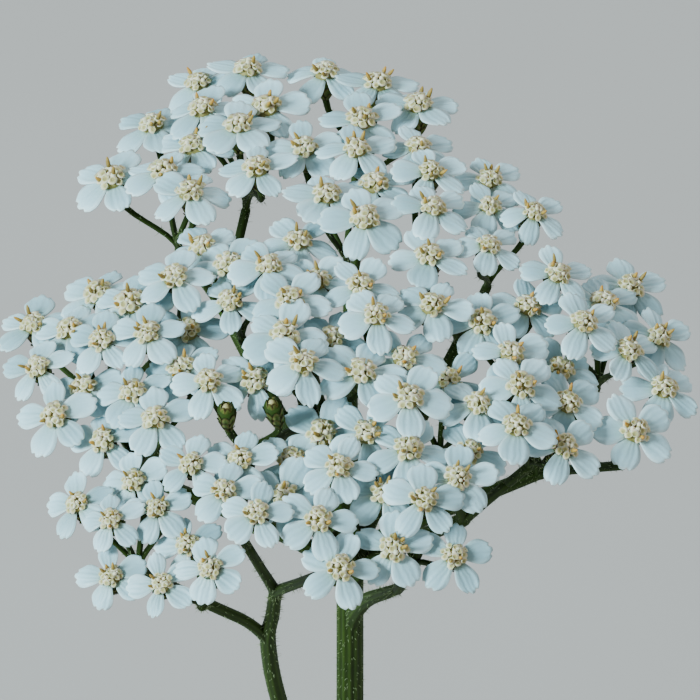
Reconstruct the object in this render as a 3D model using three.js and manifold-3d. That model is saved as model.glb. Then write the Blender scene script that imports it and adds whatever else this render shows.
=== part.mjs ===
// A yarrow plant in a plain clay pot: one flowering stem that carries a flat-topped cluster of
// small white heads, feathery leaves up the stem, and a rosette of longer leaves on the soil.
// Millimetres, +Z up. The origin is the middle of the pot's underside.

import * as THREE from 'three';
import { mergeGeometries, mergeVertices } from 'three/addons/utils/BufferGeometryUtils.js';
import Module from 'manifold-3d';

const wasm = await Module();
wasm.setup();

const UP = new THREE.Vector3(0, 0, 1);
const BACK = new THREE.Vector3(0, 1, 0);
const radians = THREE.MathUtils.degToRad;
const mix = THREE.MathUtils.lerp;

// Driving dimensions: the pot
const POT_HEIGHT = 105;
const POT_BASE_RADIUS = 41;
const POT_RIM_RADIUS = 61;
const POT_WALL = 5;
const POT_FLOOR = 7;
const RIM_BAND = 22;
const RIM_STEP = 3.5;
const POT_SIDES = 22;
const DRAIN_HOLES = 3;
const DRAIN_RADIUS = 4.5;
const DRAIN_RING = 20;

// Driving dimensions: the soil, and the gap that touching pieces keep
const SOIL_BELOW_RIM = 12;
const SOIL_LUMP = 1.6;
const GAP = 0.3;

// Driving dimensions: the flower cluster, a low dome whose top is over the pot's middle
const DOME_TOP = 335;
const DOME_DROP = 8.5;
const DOME_HALF_WIDTH = 38;
const DOME_HALF_DEPTH = 42;

// Driving dimensions: one head, with five blunt white rays round a small domed disc
const HEAD_RADIUS = 3.7;
const RAY_COUNT = 5;
const RAY_NOTCH = 1.6;
const RAY_HALF_ANGLE = radians(21);
const RAY_THICKNESS = 0.6;
const DISC_RADIUS = 1.4;
const DISC_TOP_SHARE = 0.62;
const DISC_HEIGHT = 1.2;
const DISC_CROWN = 0.4;
const CUP_LENGTH = 3.6;
const CUP_RADIUS = 1.35;
const BUD_RADIUS = 1.3;
const BUD_LENGTH = 4.6;

// Driving dimensions: the stalks
const PEDICEL_RADIUS = 0.45;
const PEDUNCLE_RADIUS = 0.8;
const PEDUNCLE_LENGTH = 5;
const BRANCH_RADIUS = 1;
const STEM_TOP_RADIUS = 1.5;
const STEM_FOOT_RADIUS = 2.2;
const STEM_DEPTH_IN_SOIL = 30;
const FORK_BELOW_DOME = 44;

// Driving dimensions: the leaves
const LEAF_THICKNESS = 0.8;
const RIB_HALF_WIDTH = 1.1;
const LEAF_FOOT_IN_SOIL = 8;
const RIB_TIP_HALF_WIDTH = 0.55;
const LEAFLET_SHARE = 0.62;
const LEAFLET_LEAN = 0.42;

// The viewpoint that the heads were read from: the picture is 700 pixels square, its middle is
// (350, 350), and a millimetre at the cluster is nine pixels
const VIEW_RISE = radians(48);
const VIEW_DISTANCE = 700;
const PX_PER_MM = 9;
const VIEW_MIDDLE_PX = 350;
const DOME_TOP_PX = 278;

// Every head's middle in the picture, as (across, down) pixels, gathered in the sprays that share
// a stalk. A spray's hub is the fork that its branch leaves from.
const SPRAYS = [
  {
    name: 'back_left_outer',
    hub: 'back_left',
    heads: [[110, 173], [151, 119], [161, 166], [189, 187], [196, 138]],
  },
  {
    name: 'back_left_inner',
    hub: 'back_left',
    heads: [[198, 77], [201, 105], [247, 63], [235, 120], [266, 101], [256, 162]],
  },
  {
    name: 'back_outer',
    hub: 'back',
    heads: [[325, 66], [378, 77], [419, 99], [362, 114]],
  },
  {
    name: 'back_inner',
    hub: 'back',
    heads: [[304, 142], [357, 144], [326, 190], [374, 178], [365, 213]],
  },
  {
    name: 'back_right_inner',
    hub: 'back_right',
    heads: [[419, 141], [431, 166], [433, 202], [430, 251]],
  },
  {
    name: 'back_right_outer',
    hub: 'back_right',
    heads: [[491, 176], [495, 199], [531, 206], [490, 240]],
  },
  {
    name: 'middle_left',
    hub: 'middle',
    heads: [[204, 244], [225, 257], [228, 296], [268, 261]],
  },
  {
    name: 'middle_back',
    hub: 'middle',
    heads: [[298, 236], [316, 278], [294, 311]],
  },
  {
    name: 'middle_right',
    hub: 'middle',
    heads: [[362, 285], [368, 318], [340, 333], [433, 301]],
  },
  {
    name: 'middle_front',
    hub: 'middle',
    heads: [[279, 340], [264, 371], [312, 371], [362, 368]],
  },
  {
    name: 'left_back',
    hub: 'left',
    heads: [[97, 289], [137, 297], [166, 279], [183, 322]],
  },
  {
    name: 'left_outer',
    hub: 'left',
    heads: [[35, 322], [69, 327], [35, 363], [110, 341], [136, 330]],
  },
  {
    name: 'left_front',
    hub: 'left',
    heads: [[86, 378], [54, 411], [102, 437], [132, 389], [153, 414], [174, 360]],
  },
  {
    name: 'right_back',
    hub: 'right',
    heads: [[483, 318], [536, 296], [552, 275], [512, 353]],
  },
  {
    name: 'right_outer',
    hub: 'right',
    heads: [[607, 297], [631, 284], [660, 334], [637, 347], [580, 326]],
  },
  {
    name: 'right_tip',
    hub: 'right',
    heads: [[662, 382], [637, 427]],
  },
  {
    name: 'right_front',
    hub: 'right_front',
    heads: [[568, 357], [568, 399], [562, 443], [520, 423], [507, 383]],
  },
  {
    name: 'right_inner',
    hub: 'right_front',
    heads: [[450, 383], [472, 441], [482, 398], [401, 348]],
  },
  {
    name: 'front_back',
    hub: 'front',
    heads: [[316, 415], [363, 426], [401, 403], [405, 438]],
  },
  {
    name: 'front_middle',
    hub: 'front',
    heads: [[287, 452], [286, 482], [350, 466]],
  },
  {
    name: 'front_low',
    hub: 'side_top',
    heads: [[322, 523], [336, 560]],
    forkDepth: 6.5,
  },
  {
    name: 'front_left',
    hub: 'side_top',
    heads: [[232, 454], [192, 462], [212, 492], [255, 510]],
  },
  {
    name: 'front_right',
    hub: 'front_right',
    heads: [[379, 489], [397, 543], [451, 548], [449, 478], [432, 493]],
  },
  {
    name: 'side_outer',
    hub: 'side',
    heads: [[78, 502], [133, 478], [120, 520], [151, 512], [110, 566]],
  },
  {
    name: 'side_inner',
    hub: 'side',
    heads: [[197, 535], [197, 556], [168, 580]],
  },
  {
    name: 'late',
    hub: 'middle',
    heads: [[224, 379]],
    buds: [[236, 407], [266, 406]],
  },
];

// The forks of the branches, as x, y and height under the dome's top. A branch leaves the main
// stem at the height 'from', or follows the side branch.
const HUBS = {
  middle: { at: [-3, 4, -27], from: -45 },
  back: { at: [0, 24, -28], from: -46 },
  back_right: { at: [13, 17, -28], from: -49 },
  back_left: { at: [-15, 23, -29], from: -47.5 },
  right: { at: [22, -1, -31], from: -47 },
  left: { at: [-23, -2, -31], from: -50 },
  right_front: { at: [13, -9, -30], from: -50.5 },
  front: { at: [-2, -13, -29], from: -46.5 },
  front_right: { at: [5.5, -14, -36.4], from: -58 },
};

// The side branch leaves the main stem low down, and carries the four sprays at the front left
const SIDE_BRANCH_FOOT = [-0.6, -0.6, -106];
const SIDE_BRANCH = [
  [-6, -6.4, -78],
  [-8.7, -9, -61.5],
  [-9.6, -11, -49.5],
  [-9, -12.5, -43],
  [-8.6, -14, -37],
];
const SIDE_HUB = [-17, -17, -35];

// A repeatable draw between 0 and 1 for an item and a purpose
function draw(item, purpose) {
  let value = (item * 7919 + purpose * 104729 + 12345) % 4294967296;
  for (let round = 0; round < 3; round += 1) {
    value = (value * 1664525 + 1013904223) % 4294967296;
  }
  return value / 4294967296;
}

// A three.js geometry without its seams, as a solid that can be joined and cut
function solidOf(geometry) {
  geometry.deleteAttribute('normal');
  geometry.deleteAttribute('uv');
  const merged = mergeVertices(geometry, 1e-4);
  const corners = merged.index.array;
  const kept = [];
  for (let i = 0; i < corners.length; i += 3) {
    const [a, b, c] = corners.slice(i, i + 3);
    if (a !== b && b !== c && c !== a) {
      kept.push(a, b, c);
    }
  }
  const vertProperties = merged.attributes.position.array;
  return new wasm.Manifold(new wasm.Mesh({ numProp: 3, vertProperties, triVerts: new Uint32Array(kept) }));
}

function joined(solids) {
  return wasm.Manifold.union(solids);
}

function meshOf(name, solid, material) {
  const data = solid.getMesh();
  const geometry = new THREE.BufferGeometry();
  geometry.setAttribute('position', new THREE.BufferAttribute(data.vertProperties, 3));
  geometry.setIndex(new THREE.BufferAttribute(data.triVerts, 1));
  geometry.computeVertexNormals();
  const mesh = new THREE.Mesh(geometry, material);
  mesh.name = name;
  return mesh;
}

// Moves every point of a geometry through a function
function reshape(geometry, move) {
  const position = geometry.attributes.position;
  const point = new THREE.Vector3();
  for (let i = 0; i < position.count; i += 1) {
    point.fromBufferAttribute(position, i);
    const moved = move(point);
    position.setXYZ(i, moved.x, moved.y, moved.z);
  }
  return geometry;
}

// A tube along a curve, with its own radius at each station from 0 to 1. Its top can lie level.
function tube(curve, stations, radii, sides, levelTop = false) {
  const steps = stations.length - 1;
  const geometry = new THREE.CylinderGeometry(1, 1, 1, sides, steps);
  reshape(geometry, (point) => {
    const ring = Math.round((point.y + 0.5) * steps);
    const along = stations[ring];
    const tangent = levelTop && ring === steps ? UP : curve.getTangentAt(along);
    const across = new THREE.Vector3().crossVectors(tangent, BACK).normalize();
    const over = new THREE.Vector3().crossVectors(across, tangent);
    return curve.getPointAt(along)
      .addScaledVector(across, point.x * radii[ring])
      .addScaledVector(over, point.z * radii[ring]);
  });
  return solidOf(geometry);
}

function evenStations(steps) {
  return Array.from({ length: steps + 1 }, (_, i) => i / steps);
}

function evenTube(curve, startRadius, endRadius, sides, steps) {
  const stations = evenStations(steps);
  return tube(curve, stations, stations.map((t) => mix(startRadius, endRadius, t)), sides);
}

// A branch that swells at its end into a fork with a level top
function forkedTube(curve, radius, forkRadius, sides, steps) {
  const stations = evenStations(steps);
  return tube(curve, stations, stations.map((t) => (t < 1 ? radius : forkRadius)), sides, true);
}

// A round shape from its outline in radius and height
function turned(outline, sides) {
  const points = outline.map(([radius, height]) => new THREE.Vector2(radius, height));
  const geometry = new THREE.LatheGeometry(points, sides);
  geometry.rotateX(Math.PI / 2);
  return geometry;
}

// The pot

const WALL_TOP = POT_HEIGHT - RIM_BAND;
const RIM_FOOT_RADIUS = POT_RIM_RADIUS - 1.5;
const WALL_TOP_RADIUS = RIM_FOOT_RADIUS - RIM_STEP;
const RIM_INNER_RADIUS = POT_RIM_RADIUS - POT_WALL;
const SHOULDER_RADIUS = WALL_TOP_RADIUS - POT_WALL;

function potInnerRadius(height) {
  if (height > WALL_TOP) {
    return mix(SHOULDER_RADIUS, RIM_INNER_RADIUS, (height - WALL_TOP) / RIM_BAND);
  }
  const share = (height - POT_FLOOR) / (WALL_TOP - POT_FLOOR);
  return mix(POT_BASE_RADIUS - POT_WALL, SHOULDER_RADIUS, share);
}

function makePot() {
  const outline = [
    [0, 0],
    [POT_BASE_RADIUS, 0],
    [WALL_TOP_RADIUS, WALL_TOP],
    [RIM_FOOT_RADIUS, WALL_TOP],
    [POT_RIM_RADIUS, POT_HEIGHT],
    [RIM_INNER_RADIUS, POT_HEIGHT],
    [SHOULDER_RADIUS, WALL_TOP],
    [potInnerRadius(POT_FLOOR), POT_FLOOR],
    [0, POT_FLOOR],
  ];
  let pot = solidOf(turned(outline, POT_SIDES));
  for (let i = 0; i < DRAIN_HOLES; i += 1) {
    const angle = (i / DRAIN_HOLES) * Math.PI * 2 + Math.PI / 2;
    const hole = new THREE.CylinderGeometry(DRAIN_RADIUS, DRAIN_RADIUS, POT_FLOOR * 3, 8);
    hole.rotateX(Math.PI / 2);
    hole.translate(DRAIN_RING * Math.cos(angle), DRAIN_RING * Math.sin(angle), 0);
    pot = pot.subtract(solidOf(hole));
  }
  return pot;
}

// The soil, with a plain hole for each stalk that stands in it

const SOIL_TOP = POT_HEIGHT - SOIL_BELOW_RIM;
const CROWN_RADIUS = 22;

function soilRipple(x, y) {
  return 0.5 * Math.sin(x * 0.21 + 1.3) * Math.cos(y * 0.17 - 0.4);
}

function makeSoil(feet) {
  const outline = [
    [0, POT_FLOOR + GAP],
    [potInnerRadius(POT_FLOOR) - GAP * 2, POT_FLOOR + GAP],
    [potInnerRadius(WALL_TOP) - GAP * 1.5, WALL_TOP],
    [potInnerRadius(SOIL_TOP) - GAP * 2, SOIL_TOP],
    [potInnerRadius(SOIL_TOP) * 0.7, SOIL_TOP + SOIL_LUMP * 0.6],
    [CROWN_RADIUS, SOIL_TOP + SOIL_LUMP],
    [0, SOIL_TOP + SOIL_LUMP],
  ];
  const body = reshape(turned(outline, POT_SIDES), (point) => {
    const reach = Math.hypot(point.x, point.y);
    const lumpy = point.z > SOIL_TOP + 0.1 && reach > CROWN_RADIUS + 0.1;
    return point.setZ(point.z + (lumpy ? SOIL_LUMP * soilRipple(point.x, point.y) : 0));
  });
  return solidOf(body).subtract(joined(feet));
}

// The heads: where each one stands

const HEAD_SWAY = 0.2;
const HEAD_OUTWARD = 0.75;
const HEAD_FORWARD = 0.1;

// A head faces out from the dome, less than the dome's own slope, and a little to the front. Its
// own draws sway it.
function tiltedNormal(x, y, item) {
  const outX = (HEAD_OUTWARD * 2 * DOME_DROP * x) / DOME_HALF_WIDTH ** 2;
  const outY = (HEAD_OUTWARD * 2 * DOME_DROP * y) / DOME_HALF_DEPTH ** 2;
  const leanX = outX + (draw(item, 1) - 0.5) * HEAD_SWAY;
  const leanY = outY - HEAD_FORWARD + (draw(item, 2) - 0.5) * HEAD_SWAY;
  return new THREE.Vector3(leanX, leanY, 1).normalize();
}

// Where a picture point lies on the dome, when it stands 'lift' above it
function placeOnDome(head) {
  const [across, down] = head.pixel;
  const place = new THREE.Vector3();
  for (let pass = 0; pass < 12; pass += 1) {
    const slopeX = (place.x / DOME_HALF_WIDTH) ** 2;
    const slopeY = (place.y / DOME_HALF_DEPTH) ** 2;
    place.z = head.lift - DOME_DROP * (slopeX + slopeY);
    const nearer = place.z * Math.sin(VIEW_RISE) - place.y * Math.cos(VIEW_RISE);
    const scale = (VIEW_DISTANCE - nearer) / VIEW_DISTANCE / PX_PER_MM;
    place.x = (across - VIEW_MIDDLE_PX) * scale;
    const rise = (VIEW_MIDDLE_PX - down) * scale - (VIEW_MIDDLE_PX - DOME_TOP_PX) / PX_PER_MM;
    place.y = (rise - place.z * Math.cos(VIEW_RISE)) / Math.sin(VIEW_RISE);
  }
  head.at = place;
  head.normal = tiltedNormal(place.x, place.y, head.item);
}

// Heads stand at least this far apart on the plan
const HEAD_SPACING = 5.2;

function spreadApart(heads) {
  for (let round = 0; round < 30; round += 1) {
    for (const head of heads) {
      for (const other of heads) {
        if (other.item > head.item) {
          const x = other.at.x - head.at.x;
          const y = other.at.y - head.at.y;
          const distance = Math.hypot(x, y);
          const push = Math.max(0, HEAD_SPACING - distance) / 2 / distance;
          head.at.x -= x * push;
          head.at.y -= y * push;
          other.at.x += x * push;
          other.at.y += y * push;
        }
      }
    }
  }
}

const RAY_CLEARANCE = 1.05;
const RIM_POINTS = 10;
const LARGEST_STEP = 0.4;

// How far the rays of one head still have to move off the plane of another's
function raysTooClose(head, other, side) {
  const across = new THREE.Vector3().crossVectors(BACK, head.normal).normalize();
  const over = new THREE.Vector3().crossVectors(head.normal, across);
  let worst = 0;
  for (let i = 0; i < RIM_POINTS; i += 1) {
    const angle = (i / RIM_POINTS) * Math.PI * 2;
    const point = head.at.clone()
      .addScaledVector(across, Math.cos(angle) * head.radius)
      .addScaledVector(over, Math.sin(angle) * head.radius)
      .sub(other.at);
    const height = point.dot(other.normal);
    const outward = Math.sqrt(Math.max(0, point.lengthSq() - height * height));
    if (outward < other.radius) {
      worst = Math.max(worst, RAY_CLEARANCE - side * height);
    }
  }
  return worst;
}

// Rays that would meet slide over one another: the higher head rises and the lower one sinks
function liftClear(heads) {
  for (let round = 0; round < 30; round += 1) {
    for (const head of heads) {
      for (const other of heads) {
        if (other.item > head.item && head.at.distanceTo(other.at) < head.radius + other.radius) {
          const side = head.at.clone().sub(other.at).dot(other.normal) >= 0 ? 1 : -1;
          const move = Math.max(raysTooClose(head, other, side), raysTooClose(other, head, -side)) / 2;
          const step = Math.min(move, LARGEST_STEP) * side;
          head.at.z += step;
          head.lift += step;
          other.at.z -= step;
          other.lift -= step;
        }
      }
    }
  }
}

const SMALLEST_HEAD = 0.94;
const LARGEST_HEAD = 1.05;

function allHeads() {
  const heads = [];
  for (const spray of SPRAYS) {
    const buds = spray.buds ?? [];
    for (const pixel of spray.heads.concat(buds)) {
      const item = heads.length;
      const size = mix(SMALLEST_HEAD, LARGEST_HEAD, draw(item, 3));
      const radius = HEAD_RADIUS * size;
      heads.push({ item, pixel, spray: spray.name, bud: buds.includes(pixel), lift: 0, size, radius });
    }
  }
  for (let round = 0; round < 3; round += 1) {
    heads.forEach(placeOnDome);
    spreadApart(heads);
    liftClear(heads);
  }
  heads.forEach((head) => {
    head.at.z += DOME_TOP;
  });
  return heads;
}

// The heads: their shapes

function rayOutline(radius) {
  const shape = new THREE.Shape();
  const points = [];
  for (let ray = 0; ray < RAY_COUNT; ray += 1) {
    const angle = (ray / RAY_COUNT) * Math.PI * 2;
    const notch = angle - Math.PI / RAY_COUNT;
    points.push([RAY_NOTCH, notch], [radius, angle - RAY_HALF_ANGLE], [radius, angle + RAY_HALF_ANGLE]);
  }
  shape.setFromPoints(points.map(([r, a]) => new THREE.Vector2(r * Math.cos(a), r * Math.sin(a))));
  return shape;
}

function raysGeometry(head) {
  const options = { depth: RAY_THICKNESS, bevelEnabled: false };
  const geometry = new THREE.ExtrudeGeometry(rayOutline(head.radius), options);
  return geometry.translate(0, 0, -RAY_THICKNESS / 2);
}

function discGeometry(head) {
  const base = DISC_RADIUS * head.size;
  const geometry = new THREE.CylinderGeometry(base * DISC_TOP_SHARE, base, DISC_HEIGHT, RAY_COUNT);
  geometry.rotateX(Math.PI / 2);
  return reshape(geometry, (point) => {
    const crown = point.z > 0 && Math.hypot(point.x, point.y) < 1e-3;
    return point.setZ(point.z + DISC_HEIGHT / 2 + (crown ? DISC_CROWN : 0));
  });
}

// A head stands square to its own normal, turned by its own draw
function headFrame(head) {
  const turn = new THREE.Matrix4().makeRotationZ(draw(head.item, 4) * Math.PI * 2);
  const across = new THREE.Vector3().crossVectors(BACK, head.normal).normalize();
  const over = new THREE.Vector3().crossVectors(head.normal, across);
  const stand = new THREE.Matrix4().makeBasis(across, over, head.normal).setPosition(head.at);
  return stand.multiply(turn);
}

// A stalk in the head's own frame: it rises from its foot, turns square to the head, and ends in
// the shape that 'tip' gives as [distance under the head, radius] pairs
function stalkSolid(foot, tip, sides) {
  const neck = new THREE.Vector3(0, 0, -tip[0][0]);
  const path = new THREE.CurvePath();
  path.add(new THREE.LineCurve3(foot, neck));
  path.add(new THREE.LineCurve3(neck, new THREE.Vector3()));
  const stations = [0, ...tip.map(([below]) => 1 - below / path.getLength())];
  return tube(path, stations, [PEDICEL_RADIUS, ...tip.map(([, radius]) => radius)], sides);
}

function headSolid(head, foot) {
  const frame = headFrame(head);
  const localFoot = foot.clone().applyMatrix4(frame.clone().invert());
  const budTip = [[BUD_LENGTH, PEDICEL_RADIUS], [BUD_LENGTH * 0.5, BUD_RADIUS], [0, BUD_RADIUS * 0.6]];
  const cupTip = [[CUP_LENGTH, PEDICEL_RADIUS * 1.3], [0, CUP_RADIUS * head.size]];
  if (head.bud) {
    return stalkSolid(localFoot, budTip, 5).transform(frame.elements);
  }
  const rays = solidOf(raysGeometry(head));
  const disc = solidOf(discGeometry(head));
  return joined([rays, disc, stalkSolid(localFoot, cupTip, 3)]).transform(frame.elements);
}

// The sprays and the branches that carry them

function underDome([x, y, below]) {
  return new THREE.Vector3(x, y, DOME_TOP + below);
}

function hubPoint(name) {
  const places = { side: SIDE_HUB, side_top: SIDE_BRANCH[SIDE_BRANCH.length - 1] };
  return underDome(places[name] ?? HUBS[name].at);
}

// A spray's fork: how far it lies under the heads, and how far it is drawn in to the stem
const FORK_DEPTH = 9;
const FORK_SPREAD_SHARE = 0.35;
const FORK_DRAW_IN = 0.92;
const FORK_RADIUS = 1.6;
const FOOT_SUNK = 0.15;
const HUB_RADIUS = 2;
const TWIG_RADIUS = 0.75;

// The fork where a spray's stalks part lies under the middle of its heads
function sprayFork(heads, depth = FORK_DEPTH) {
  const middle = new THREE.Vector3();
  heads.forEach((head) => middle.addScaledVector(head.at, 1 / heads.length));
  const spread = Math.max(...heads.map((head) => head.at.distanceTo(middle)));
  middle.x *= FORK_DRAW_IN;
  middle.y *= FORK_DRAW_IN;
  middle.z -= depth + spread * FORK_SPREAD_SHARE;
  return middle;
}

// Where each stalk starts: they stand in a ring in the fork's level top, in the order of their ends
function feetOnFork(ends, fork, radius) {
  const bearing = (end) => Math.atan2(end.y - fork.y, end.x - fork.x);
  const order = ends.map((_, i) => i).sort((a, b) => bearing(ends[a]) - bearing(ends[b]));
  const feet = [];
  order.forEach((end, place) => {
    const angle = bearing(ends[order[0]]) + (place / ends.length) * Math.PI * 2;
    const ring = ends.length > 1 ? radius * 0.5 : 0;
    const step = new THREE.Vector3(ring * Math.cos(angle), ring * Math.sin(angle), -FOOT_SUNK);
    feet[end] = fork.clone().add(step);
  });
  return feet;
}

function spraySolid(heads, fork, foot) {
  const feet = feetOnFork(heads.map((head) => head.at), fork, FORK_RADIUS);
  return joined([
    forkedTube(new THREE.LineCurve3(foot, fork), PEDUNCLE_RADIUS, FORK_RADIUS, 5, 1),
    ...heads.map((head, i) => headSolid(head, feet[i])),
  ]);
}

// A branch rises steeply from its start, then leans out to its end
function branchCurve(start, end) {
  const rise = end.z - start.z;
  const lower = start.clone().lerp(end, 0.3).addScaledVector(UP, rise * 0.08);
  const upper = start.clone().lerp(end, 0.75).addScaledVector(UP, rise * 0.03);
  return new THREE.CatmullRomCurve3([start, lower, upper, end]);
}

// A branch starts under the stem's skin, on the side that it leans to
function branchStart(hub) {
  const [x, y] = hub.at;
  const outward = new THREE.Vector3(x, y, 0).normalize();
  return underDome([0, 0, hub.from]).addScaledVector(outward, STEM_TOP_RADIUS * 0.5);
}

function stemSolid(tips) {
  const crown = new THREE.Vector3(0, 0, SOIL_TOP - STEM_DEPTH_IN_SOIL);
  const main = new THREE.LineCurve3(crown, underDome([0, 0, -FORK_BELOW_DOME]));
  const parts = [evenTube(main, STEM_FOOT_RADIUS, STEM_TOP_RADIUS, 6, 2)];
  for (const [name, hub] of Object.entries(HUBS)) {
    const curve = branchCurve(branchStart(hub), hubPoint(name));
    parts.push(forkedTube(curve, BRANCH_RADIUS, HUB_RADIUS, 4, 3));
  }
  const side = [SIDE_BRANCH_FOOT, ...SIDE_BRANCH].map(underDome);
  parts.push(forkedTube(new THREE.CatmullRomCurve3(side), BRANCH_RADIUS, HUB_RADIUS, 4, 5));
  const offshoot = branchCurve(underDome(SIDE_BRANCH[2]), hubPoint('side'));
  parts.push(forkedTube(offshoot, BRANCH_RADIUS * 0.9, HUB_RADIUS, 4, 2));
  for (const name of new Set(tips.map((tip) => tip.hub))) {
    const own = tips.filter((tip) => tip.hub === name);
    const feet = feetOnFork(own.map((tip) => tip.to), hubPoint(name), HUB_RADIUS);
    own.forEach((tip, i) => {
      parts.push(evenTube(new THREE.LineCurve3(feet[i], tip.to), TWIG_RADIUS, PEDUNCLE_RADIUS, 3, 1));
    });
  }
  return joined(parts);
}

// The leaves: a rib with pairs of narrow leaflets, bent along an arc

function leafWidth(leaf, share) {
  const swell = Math.sin(Math.PI * share ** 0.8) ** 0.7;
  return Math.max(RIB_HALF_WIDTH * 1.6, leaf.halfWidth * swell);
}

function ribWidth(leaf, along) {
  return mix(RIB_TIP_HALF_WIDTH, RIB_HALF_WIDTH, (1 - along / leaf.length) ** 1.3);
}

// The outline of one stretch of the leaf: its pair of leaflets, and the rib up to the next pair
function leafletPair(leaf, pair) {
  const pitch = (leaf.length - leaf.petiole) / leaf.pairs;
  const start = leaf.petiole + pair * pitch;
  const share = (pair + 0.5) / leaf.pairs;
  const width = leafWidth(leaf, share);
  const tip = start + pitch * LEAFLET_SHARE * 0.7 + width * LEAFLET_LEAN;
  const shoulder = start + pitch * LEAFLET_SHARE;
  const right = [[start, ribWidth(leaf, start)], [tip, width], [shoulder, ribWidth(leaf, shoulder)]];
  const last = pair === leaf.pairs - 1;
  const end = start + pitch;
  return last ? [...right, [leaf.length, 0]] : [...right, [end, ribWidth(leaf, end)]];
}

function petioleOutlines(leaf) {
  const stations = leaf.petiole > LEAF_FOOT_IN_SOIL * 2
    ? [0, LEAF_FOOT_IN_SOIL * 1.5, mix(LEAF_FOOT_IN_SOIL * 1.5, leaf.petiole, 0.5), leaf.petiole]
    : [0, leaf.petiole];
  return stations.slice(1).map((end, i) => [stations[i], end].map((s) => [s, ribWidth(leaf, s)]));
}

// The leaf's own curve: it leaves its foot at the angle 'rise' and turns over to the angle 'end'
function bendPoint(leaf, along, across, lift) {
  const turn = (leaf.end - leaf.rise) / leaf.length;
  const angle = leaf.rise + turn * along;
  const out = (Math.sin(angle) - Math.sin(leaf.rise)) / turn;
  const up = (Math.cos(leaf.rise) - Math.cos(angle)) / turn;
  const radial = new THREE.Vector3(Math.cos(leaf.heading), Math.sin(leaf.heading), 0);
  const tangent = radial.clone().multiplyScalar(Math.cos(angle)).addScaledVector(UP, Math.sin(angle));
  const side = new THREE.Vector3().crossVectors(UP, radial);
  side.applyAxisAngle(tangent, leaf.roll * along / leaf.length);
  const normal = new THREE.Vector3().crossVectors(tangent, side);
  return leaf.foot.clone()
    .addScaledVector(radial, out)
    .addScaledVector(UP, up)
    .addScaledVector(side, across)
    .addScaledVector(normal, lift + leaf.vee * Math.abs(across));
}

// A flat outline, given as its right-hand side, as a thin flat plate
function flatPlate(half, thickness) {
  const right = half.map(([along, across]) => new THREE.Vector2(along, -across));
  const outward = half.filter(([, across]) => across > 0);
  const left = outward.map(([along, across]) => new THREE.Vector2(along, across));
  const shape = new THREE.Shape(right.concat(left.reverse()));
  const geometry = new THREE.ExtrudeGeometry(shape, { depth: thickness, bevelEnabled: false });
  return geometry.translate(0, 0, -thickness / 2);
}

// Plates laid end to end become one: the walls where they meet, square to the rib, are left out
function endToEnd(plates) {
  const all = mergeGeometries(plates);
  const position = all.attributes.position;
  const kept = [];
  for (let i = 0; i < position.count; i += 3) {
    const along = [0, 1, 2].map((corner) => position.getX(i + corner));
    const wall = Math.max(...along) - Math.min(...along) < 1e-3;
    if (!wall || along[0] < 1e-3) {
      kept.push(i, i + 1, i + 2);
    }
  }
  all.setIndex(kept);
  return all;
}

function bent(leaf, geometry) {
  return solidOf(reshape(geometry, ({ x, y, z }) => bendPoint(leaf, x, y, z)));
}

function leafSolid(leaf) {
  const outlines = petioleOutlines(leaf);
  for (let pair = 0; pair < leaf.pairs; pair += 1) {
    outlines.push(leafletPair(leaf, pair));
  }
  return bent(leaf, endToEnd(outlines.map((half) => flatPlate(half, LEAF_THICKNESS))));
}

// The hole that a leaf's foot stands in is the foot's own shape, a gap wider all round
function leafHole(leaf) {
  const end = LEAF_FOOT_IN_SOIL * 1.5;
  const half = [[-GAP, ribWidth(leaf, 0) + GAP], [end, ribWidth(leaf, end) + GAP]];
  return bent(leaf, flatPlate(half, LEAF_THICKNESS + GAP * 2));
}

function stemHole() {
  const depth = STEM_DEPTH_IN_SOIL + GAP;
  const radius = STEM_FOOT_RADIUS + GAP * 1.3;
  const hole = new THREE.CylinderGeometry(radius, radius, depth * 2, 6);
  hole.rotateX(Math.PI / 2);
  hole.translate(0, 0, SOIL_TOP);
  return solidOf(hole);
}

// The rosette on the soil: a flatter outer ring and a steeper inner one
const OUTER_RING = {
  ring: 'outer',
  count: 6,
  radius: 13,
  length: 134,
  petiole: 36,
  halfWidth: 15,
  rise: 58,
  end: -42,
  start: 12,
};
const INNER_RING = {
  ring: 'inner',
  count: 5,
  radius: 7.5,
  length: 108,
  petiole: 34,
  halfWidth: 11.5,
  rise: 76,
  end: 2,
  start: 40,
};
const ROSETTE_PAIRS = 9;

function rosetteLeaves() {
  const leaves = [];
  for (const ring of [OUTER_RING, INNER_RING]) {
    for (let i = 0; i < ring.count; i += 1) {
      const item = 200 + leaves.length;
      const heading = radians(ring.start + (360 / ring.count) * i + (draw(item, 1) - 0.5) * 12);
      const size = mix(0.9, 1.06, draw(item, 2));
      const foot = new THREE.Vector3(Math.cos(heading), Math.sin(heading), 0).multiplyScalar(ring.radius);
      foot.z = SOIL_TOP + SOIL_LUMP - LEAF_FOOT_IN_SOIL;
      leaves.push({
        name: `rosette_leaf_${ring.ring}_${i + 1}`,
        foot,
        heading,
        length: ring.length * size,
        petiole: ring.petiole,
        halfWidth: ring.halfWidth * size,
        pairs: ROSETTE_PAIRS,
        rise: radians(ring.rise + (draw(item, 3) - 0.5) * 8),
        end: radians(ring.end + (draw(item, 4) - 0.5) * 16),
        roll: radians((draw(item, 5) - 0.5) * 30),
        vee: 0.22,
      });
    }
  }
  return leaves;
}

// The stem's leaves climb it by the golden angle, smaller towards the top
const STEM_LEAF_COUNT = 6;
const STEM_LEAF_PAIRS = 8;
const STEM_LEAF_FIRST = 40;
const STEM_LEAF_STEP = 17;
const STEM_LEAF_LONGEST = 78;
const STEM_LEAF_SHORTEST = 46;
const STEM_LEAF_START = 205;
const GOLDEN_ANGLE = 137.5;

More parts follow.
